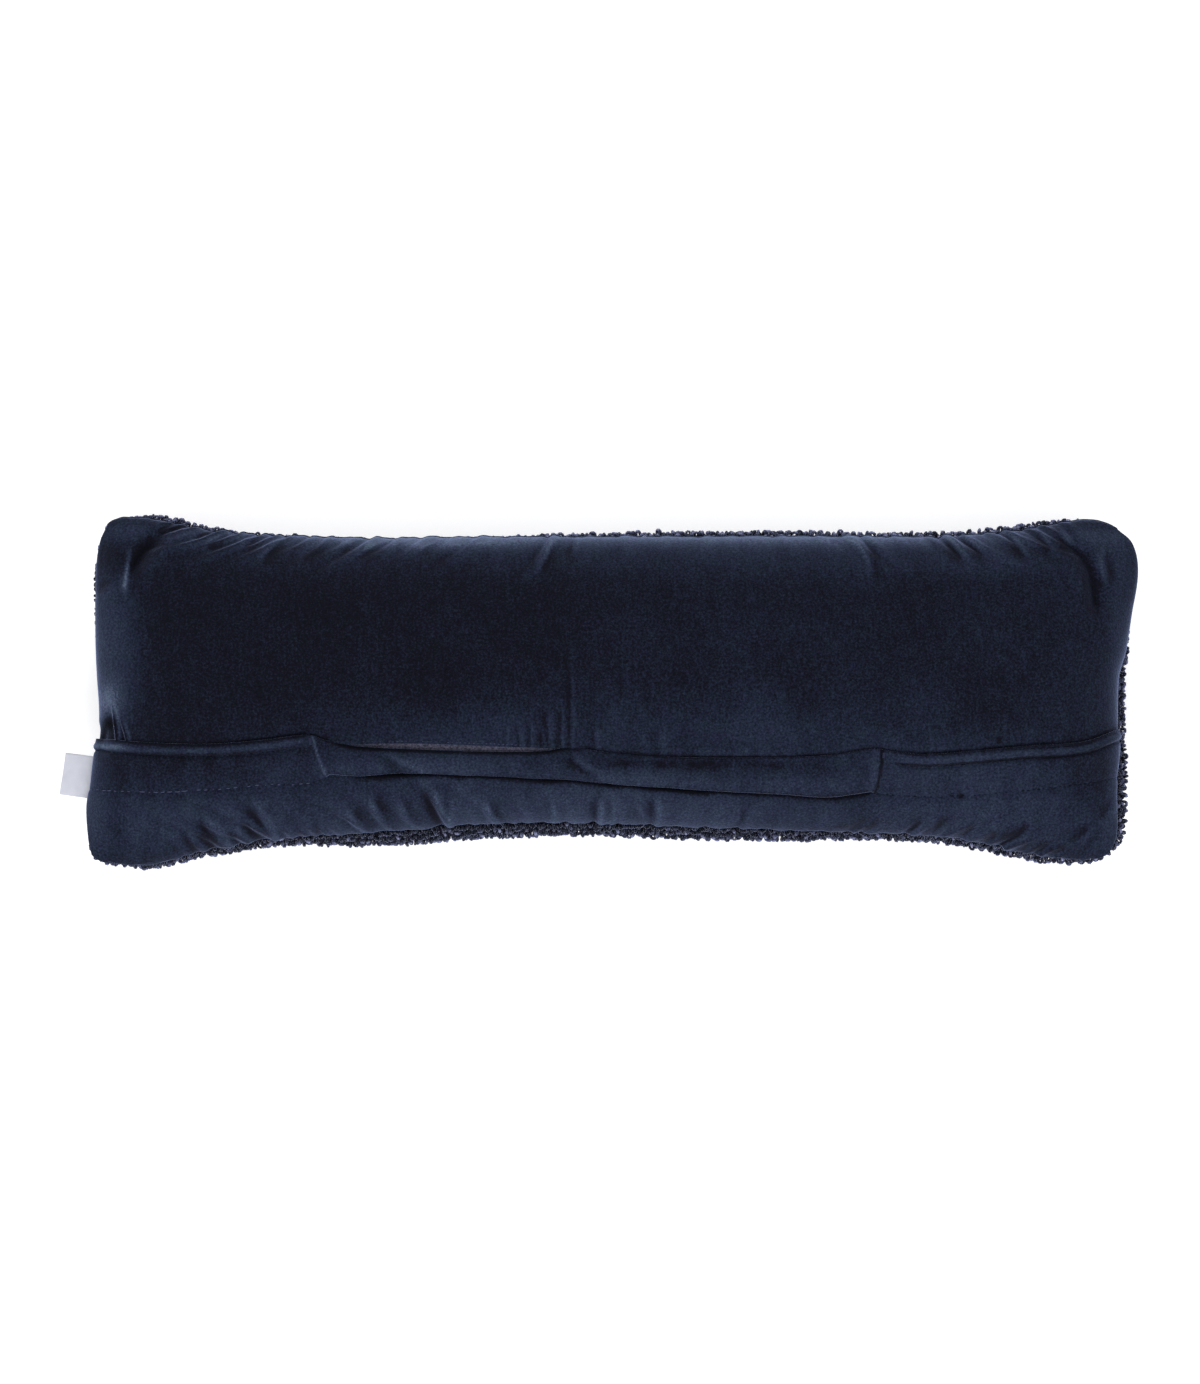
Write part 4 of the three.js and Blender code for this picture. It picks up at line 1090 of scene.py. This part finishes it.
def backing_grid(columns=190, rows=72):
    """Belly of the backing, from outline to outline."""
    u = clustered(columns)[None, :] + np.zeros((rows, 1))
    v = clustered(rows)[:, None] + np.zeros((1, columns))
    x = 300 * u
    y = 90 * v
    for _ in range(8):
        left = read(LEFT_EDGE, "seam", y) - read(LEFT_EDGE, "rim", y) + LOOP
        right = read(RIGHT_EDGE, "seam", y) + read(RIGHT_EDGE, "rim", y) - LOOP
        x = (left + right) / 2 + (right - left) / 2 * u
        near = read(NEAR_EDGE, "seam", x) - read(NEAR_EDGE, "rim", x) + LOOP
        far = read(FAR_EDGE, "seam", x) + read(FAR_EDGE, "rim", x) - LOOP
        y = (near + far) / 2 + (far - near) / 2 * v
    across = (2 * y - far - near) / (far - near)
    along = (2 * x - left - right) / (right - left)
    full = np.clip(1 - across ** 2, 0, 1) ** BELLY_POWER
    full = full * np.clip(1 - np.abs(along) ** END_ROUNDING, 0, 1) ** 0.5
    z = SEAM_HEIGHT - RIM_DROP - (BELLY_DROP - RIM_DROP) * full
    z = z + 0.5 * waves(x, y, 45.0, seed=11) * full
    return np.stack([x, y, np.maximum(z, BASE_FLOOR)], axis=-1)


def rim_of(grid):
    """Points once round the outside of a grid."""
    return np.concatenate([grid[0, :-1], grid[:-1, -1], grid[-1, :0:-1], grid[:0:-1, 0]])


def backing():
    belly = backing_grid()
    edge = rim_of(belly)
    count = len(edge)
    run = np.roll(edge, -1, axis=0) - np.roll(edge, 1, axis=0)
    away = unit(np.stack([run[:, 1], -run[:, 0], np.zeros(count)], axis=-1))
    x, y = edge[:, 0], edge[:, 1]
    # the edge that each point lies nearest to says how far the loops stand out there
    near = np.abs(y - read(NEAR_EDGE, "seam", x))
    far = np.abs(y - read(FAR_EDGE, "seam", x))
    left = np.abs(x - read(LEFT_EDGE, "seam", y))
    right = np.abs(x - read(RIGHT_EDGE, "seam", y))
    rim_side = np.stack([near, far, left, right]).argmin(axis=0)
    rim = np.choose(rim_side, [
        read(NEAR_EDGE, "rim", x), read(FAR_EDGE, "rim", x),
        read(LEFT_EDGE, "rim", y), read(RIGHT_EDGE, "rim", y)])
    inward = np.clip(rim - LOOP, -3, None) + UNDER_VELVET
    rings = []
    for t in (0.0, 0.12, 0.3, 0.5, 0.72, 1.0):
        angle = t * math.pi / 2
        back = np.maximum(inward, 0.6)[:, None] * (1 - math.cos(angle))
        z = (RIM_DROP - RIM_TOP) * math.sin(angle)
        rings.append(edge - away * back + np.array([0, 0, 1]) * z)
    rings = np.array(rings)
    return belly, rings


belly, rim_rings = backing()


def lid(ring, steps=3):
    """Closes the backing under the velvet, towards a line along its middle."""
    middle = ring * np.array([0.9, 0.0, 1.0]) + np.array([0, 0, 6.0])
    return np.stack([ring + (middle - ring) * k / steps for k in range(1, steps + 1)])


def backing_piece():
    rows, columns = belly.shape[:2]
    under = grid_faces(rows, columns)[:, ::-1]
    rings = np.concatenate([rim_rings, lid(rim_rings[-1])])
    sides = grid_faces(len(rings), rings.shape[1], wrap=True) + rows * columns
    points = np.concatenate([belly.reshape(-1, 3), rings.reshape(-1, 3)])
    return mesh_of("hooked_backing", points, np.concatenate([under, sides]), BACKING)


backing_body = backing_piece()


def quad_samples(grid, faces_normal_sign, density):
    """Random points spread evenly over a grid's faces, with their outward directions."""
    a, b = grid[:-1, :-1].reshape(-1, 3), grid[:-1, 1:].reshape(-1, 3)
    c, d = grid[1:, 1:].reshape(-1, 3), grid[1:, :-1].reshape(-1, 3)
    normal = np.cross(c - a, d - b) * faces_normal_sign
    area = np.linalg.norm(normal, axis=1) / 2
    count = int(area.sum() * density)
    pick = random.choice(len(area), count, p=area / area.sum())
    u, v = random.random((2, count, 1))
    points = (a[pick] * (1 - u) * (1 - v) + b[pick] * u * (1 - v) + c[pick] * u * v + d[pick] * (1 - u) * v)
    return points, unit(normal[pick])


def thin_out(points, spacing):
    """Indices of points that keep at least that distance from each other."""
    cell = spacing / math.sqrt(3)
    taken = {}
    kept = []
    keys = np.floor(points / cell).astype(int)
    reach = [(i, j, k) for i in (-2, -1, 0, 1, 2) for j in (-2, -1, 0, 1, 2) for k in (-2, -1, 0, 1, 2)]
    values = points.tolist()
    for n, (kx, ky, kz) in enumerate(keys.tolist()):
        if (kx, ky, kz) in taken:
            continue
        px, py, pz = values[n]
        clear = True
        for i, j, k in reach:
            other = taken.get((kx + i, ky + j, kz + k))
            if other is not None:
                qx, qy, qz = values[other]
                if (px - qx) ** 2 + (py - qy) ** 2 + (pz - qz) ** 2 < spacing ** 2:
                    clear = False
                    break
        if clear:
            taken[(kx, ky, kz)] = n
            kept.append(n)
    return np.array(kept)


RIM_SPACING = 2.5            # between loops where they show past the velvet
LOOP_SPACING = 3.35
RIM_DEPTH = 13.0             # how far below the seam the close-set loops go
SEAM_ROW_SPACING = 2.6
SEAM_ROW_LIFT = 0.6          # how steeply the row along the near seam points up
FAR_SIDE = 80.0
FAR_FADE = 0.45              # the yarn along the far edge is a little paler, and shorter here and there
FAR_SHORT = 0.45
SEAM_SHADE = 0.35            # painted shade: the yarn close under the seam is a little darker, but for the far edge
PIECE_TRIANGLES = 190000     # loops of one level are split into pieces of at most this many
LOW = 8.0                    # loops no higher than this are on the underside


def seam_row():
    """Loops side by side along the near seam and the ends, where no others reach the velvet."""
    ledge = np.linalg.norm((rim_rings[0] - rim_rings[-1])[:, :2], axis=1)
    wide = smooth(ledge, 1.0, 4.0)[:, None]
    ring = rim_rings[3] * (1 - wide) + rim_rings[4] * wide
    out = -edge_away(ring) + SEAM_ROW_LIFT * wide * np.array([0, 0, 1])
    run = lengths_to(ring)
    at = np.arange(0, run[-1], SEAM_ROW_SPACING)
    points = at_length(at, run, ring)
    out = at_length(at, run, out)
    shown = points[:, 1] < FAR_SIDE
    return points[shown], unit(out[shown])


def loop_places():
    closed = np.concatenate([rim_rings, rim_rings[:, :1]], axis=1)
    rim_points, rim_out = quad_samples(closed[:-1], 1, 0.9)
    belly_points, belly_out = quad_samples(belly, -1, 0.9)
    points = np.concatenate([rim_points, belly_points])
    out = np.concatenate([rim_out, belly_out])
    order = random.permutation(len(points))
    row_points, row_out = seam_row()
    points = np.concatenate([row_points, points[order]])
    out = np.concatenate([row_out, out[order]])
    high = points[:, 2] > SEAM_HEIGHT - RIM_DEPTH
    kept = np.concatenate([
        np.flatnonzero(part)[thin_out(points[part], spacing)]
        for part, spacing in ((high, RIM_SPACING), (~high, LOOP_SPACING))])
    return points[kept], out[kept]


def yarn_loops(name, points, out, rings, around, size):
    """Arched loops of yarn standing on the backing, each with its own size, twist and lean."""
    count = len(points)
    pick = np.random.default_rng(count)
    round_about = unit(np.stack([-points[:, 1] * 3.2, points[:, 0] * 0.3, 0 * points[:, 0]], axis=-1))
    run = unit(round_about - out * np.sum(round_about * out, axis=1, keepdims=True))
    side = np.cross(out, run)
    turn = pick.uniform(-1.5, 1.5, (count, 1))
    run, side = run * np.cos(turn) + side * np.sin(turn), side * np.cos(turn) - run * np.sin(turn)
    half = size * pick.uniform(1.0, 1.6, (count, 1))
    far = smooth(points[:, 1], FAR_SIDE - 20, FAR_SIDE + 8)
    short = 1 - FAR_SHORT * far * pick.random(count)
    tall = LOOP_ROOT + pick.uniform(0.6, 1.2, (count, 1)) * LOOP * short[:, None]
    lean = pick.normal(0, 0.9, (count, 2))
    thick = size * pick.uniform(0.9, 1.25, count)
    t = np.linspace(0, math.pi, rings)
    body = np.stack([
        points + run * (-half * math.cos(a) * (1 + 0.12 * math.sin(a)) + lean[:, :1] * math.sin(a))
        + out * (tall * math.sin(a) ** 0.75 - LOOP_ROOT)
        + side * (lean[:, 1:] * math.sin(a) + 0.8 * half * math.sin(2 * a))
        for a in t], axis=1)
    # painted shade: loops close under the seam are darker, and each loop darkens towards its roots
    shaded = SEAM_SHADE * (1 - far) * smooth(points[:, 2], SEAM_HEIGHT - 4.0, SEAM_HEIGHT - 1.5)
    tone = pick.normal(0.55, 0.44, count) + FAR_FADE * far - shaded
    tone = np.clip(tone, 0, 1)[:, None] * (0.05 + 0.95 * np.sin(t) ** 2)
    taper = np.ones(rings)
    taper[0] = taper[-1] = 0.7
    body[..., 2] = np.maximum(body[..., 2], 1.06 * thick[:, None] + 0.1 * tone)
    outward = np.broadcast_to(side[:, None], body.shape)
    return tubes(name, body, outward, thick, YARN, around=around, tone=tone, taper=taper)


def hook_loops():
    points, out = loop_places()
    height = points[:, 2]
    levels = (
        ("loops_rim", height > SEAM_HEIGHT - RIM_DEPTH, 8, 6, 0.8),
        ("loops_side", (height > LOW) & (height <= SEAM_HEIGHT - RIM_DEPTH), 7, 6, 1.1),
        ("loops_under", height <= LOW, 6, 5, 1.15))
    for name, chosen, rings, around, size in levels:
        places, ways = points[chosen], out[chosen]
        per_loop = 2 * (rings - 1) * around
        parts = max(1, math.ceil(len(places) * per_loop / PIECE_TRIANGLES))
        order = np.argsort(places[:, 0])
        for k, part in enumerate(np.array_split(order, parts)):
            yarn_loops(f"{name}_{k + 1}", places[part], ways[part], rings, around, size)
        print(name, len(places), "loops", len(places) * per_loop, "triangles")


hook_loops()

# A loose end of thread at the near left corner
THREAD_END = table("x y z", [
    (-280.4, -95.5, 38), (-280.2, -97.5, 38.5), (-279.7, -100.0, 37), (-280.5, -102.6, 35)])


def loose_thread():
    t = np.linspace(0, 3, 13)
    line = np.stack([np.interp(t, np.arange(4), THREAD_END[axis]) for axis in ("x", "y", "z")], axis=-1)
    up = np.broadcast_to(np.array([0.0, 0.0, 1.0]), line.shape)
    return tubes("loose_thread", line[None], up[None], 0.3, NAVY_THREAD, around=5)


loose_thread()

# Hide the CAD parts that the pieces above stand in for
for piece in bpy.context.scene.objects:
    if piece.name.startswith("loops_") or piece.name == "hooked_backing":
        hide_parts("hooked_front")
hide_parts("velvet_upper")
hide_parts("velvet_lower")
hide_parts("zip_tape")
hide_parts("label")


# Floor, light and camera
FLOOR_GLOW = 0.35            # the white sweep is lit from below as on a product table
FLOOR_HALF = 6.0             # metres from its middle to its edges
STUDIO_LIGHT = 0.75
COOL_WHITE = (0.97, 0.98, 1.0)
LAMPS = (                    # name, place and size in metres, power in watts
    ("near_box", (0.1, -1.7, 1.1), (2.4, 0.9), 34),
    ("far_box", (-0.2, 1.8, 0.9), (2.4, 0.8), 20))
LIT = (0, 0, 0.04)           # what both lamps point at


def floor():
    far = FLOOR_HALF
    mesh = bpy.data.meshes.new("floor")
    mesh.from_pydata([(-far, -far, 0), (far, -far, 0), (far, far, 0), (-far, far, 0)], [], [(0, 1, 2, 3)])
    ground = bpy.data.objects.new("floor", mesh)
    bpy.context.scene.collection.objects.link(ground)
    material = bpy.data.materials.new("floor_white")
    material.use_nodes = True
    shader = material.node_tree.nodes["Principled BSDF"]
    shader.inputs["Base Color"].default_value = (0.9, 0.9, 0.9, 1)
    shader.inputs["Roughness"].default_value = 0.9
    shader.inputs["Emission Color"].default_value = (1, 1, 1, 1)
    shader.inputs["Emission Strength"].default_value = FLOOR_GLOW
    mesh.materials.append(material)


def softbox(name, place, size, power):
    lamp = bpy.data.lights.new(name, "AREA")
    lamp.shape = "RECTANGLE"
    lamp.size, lamp.size_y = size
    lamp.energy = power
    lamp.color = COOL_WHITE
    holder = bpy.data.objects.new(name, lamp)
    bpy.context.scene.collection.objects.link(holder)
    holder.location = place
    holder.rotation_euler = (Vector(LIT) - Vector(place)).to_track_quat("-Z", "Y").to_euler()


def lights():
    world = bpy.data.worlds.new("studio")
    bpy.context.scene.world = world
    world.use_nodes = True
    world.node_tree.nodes["Background"].inputs["Color"].default_value = (1, 1, 1, 1)
    world.node_tree.nodes["Background"].inputs["Strength"].default_value = STUDIO_LIGHT
    for name, place, size, power in LAMPS:
        softbox(name, place, size, power)


def camera():
    data = bpy.data.cameras.new("camera")
    data.lens = LENS
    data.sensor_width = SENSOR
    holder = bpy.data.objects.new("camera", data)
    bpy.context.scene.collection.objects.link(holder)
    distance = PHOTO_HEIGHT * MM * LENS / SENSOR
    target = Vector(LOOK_AT) * MM
    back = Vector((0, -math.sin(LEAN), math.cos(LEAN)))
    holder.location = target + back * distance
    holder.rotation_euler = (LEAN, 0, 0)
    bpy.context.scene.camera = holder


floor()
lights()
camera()
bpy.context.scene.view_settings.view_transform = "Standard"
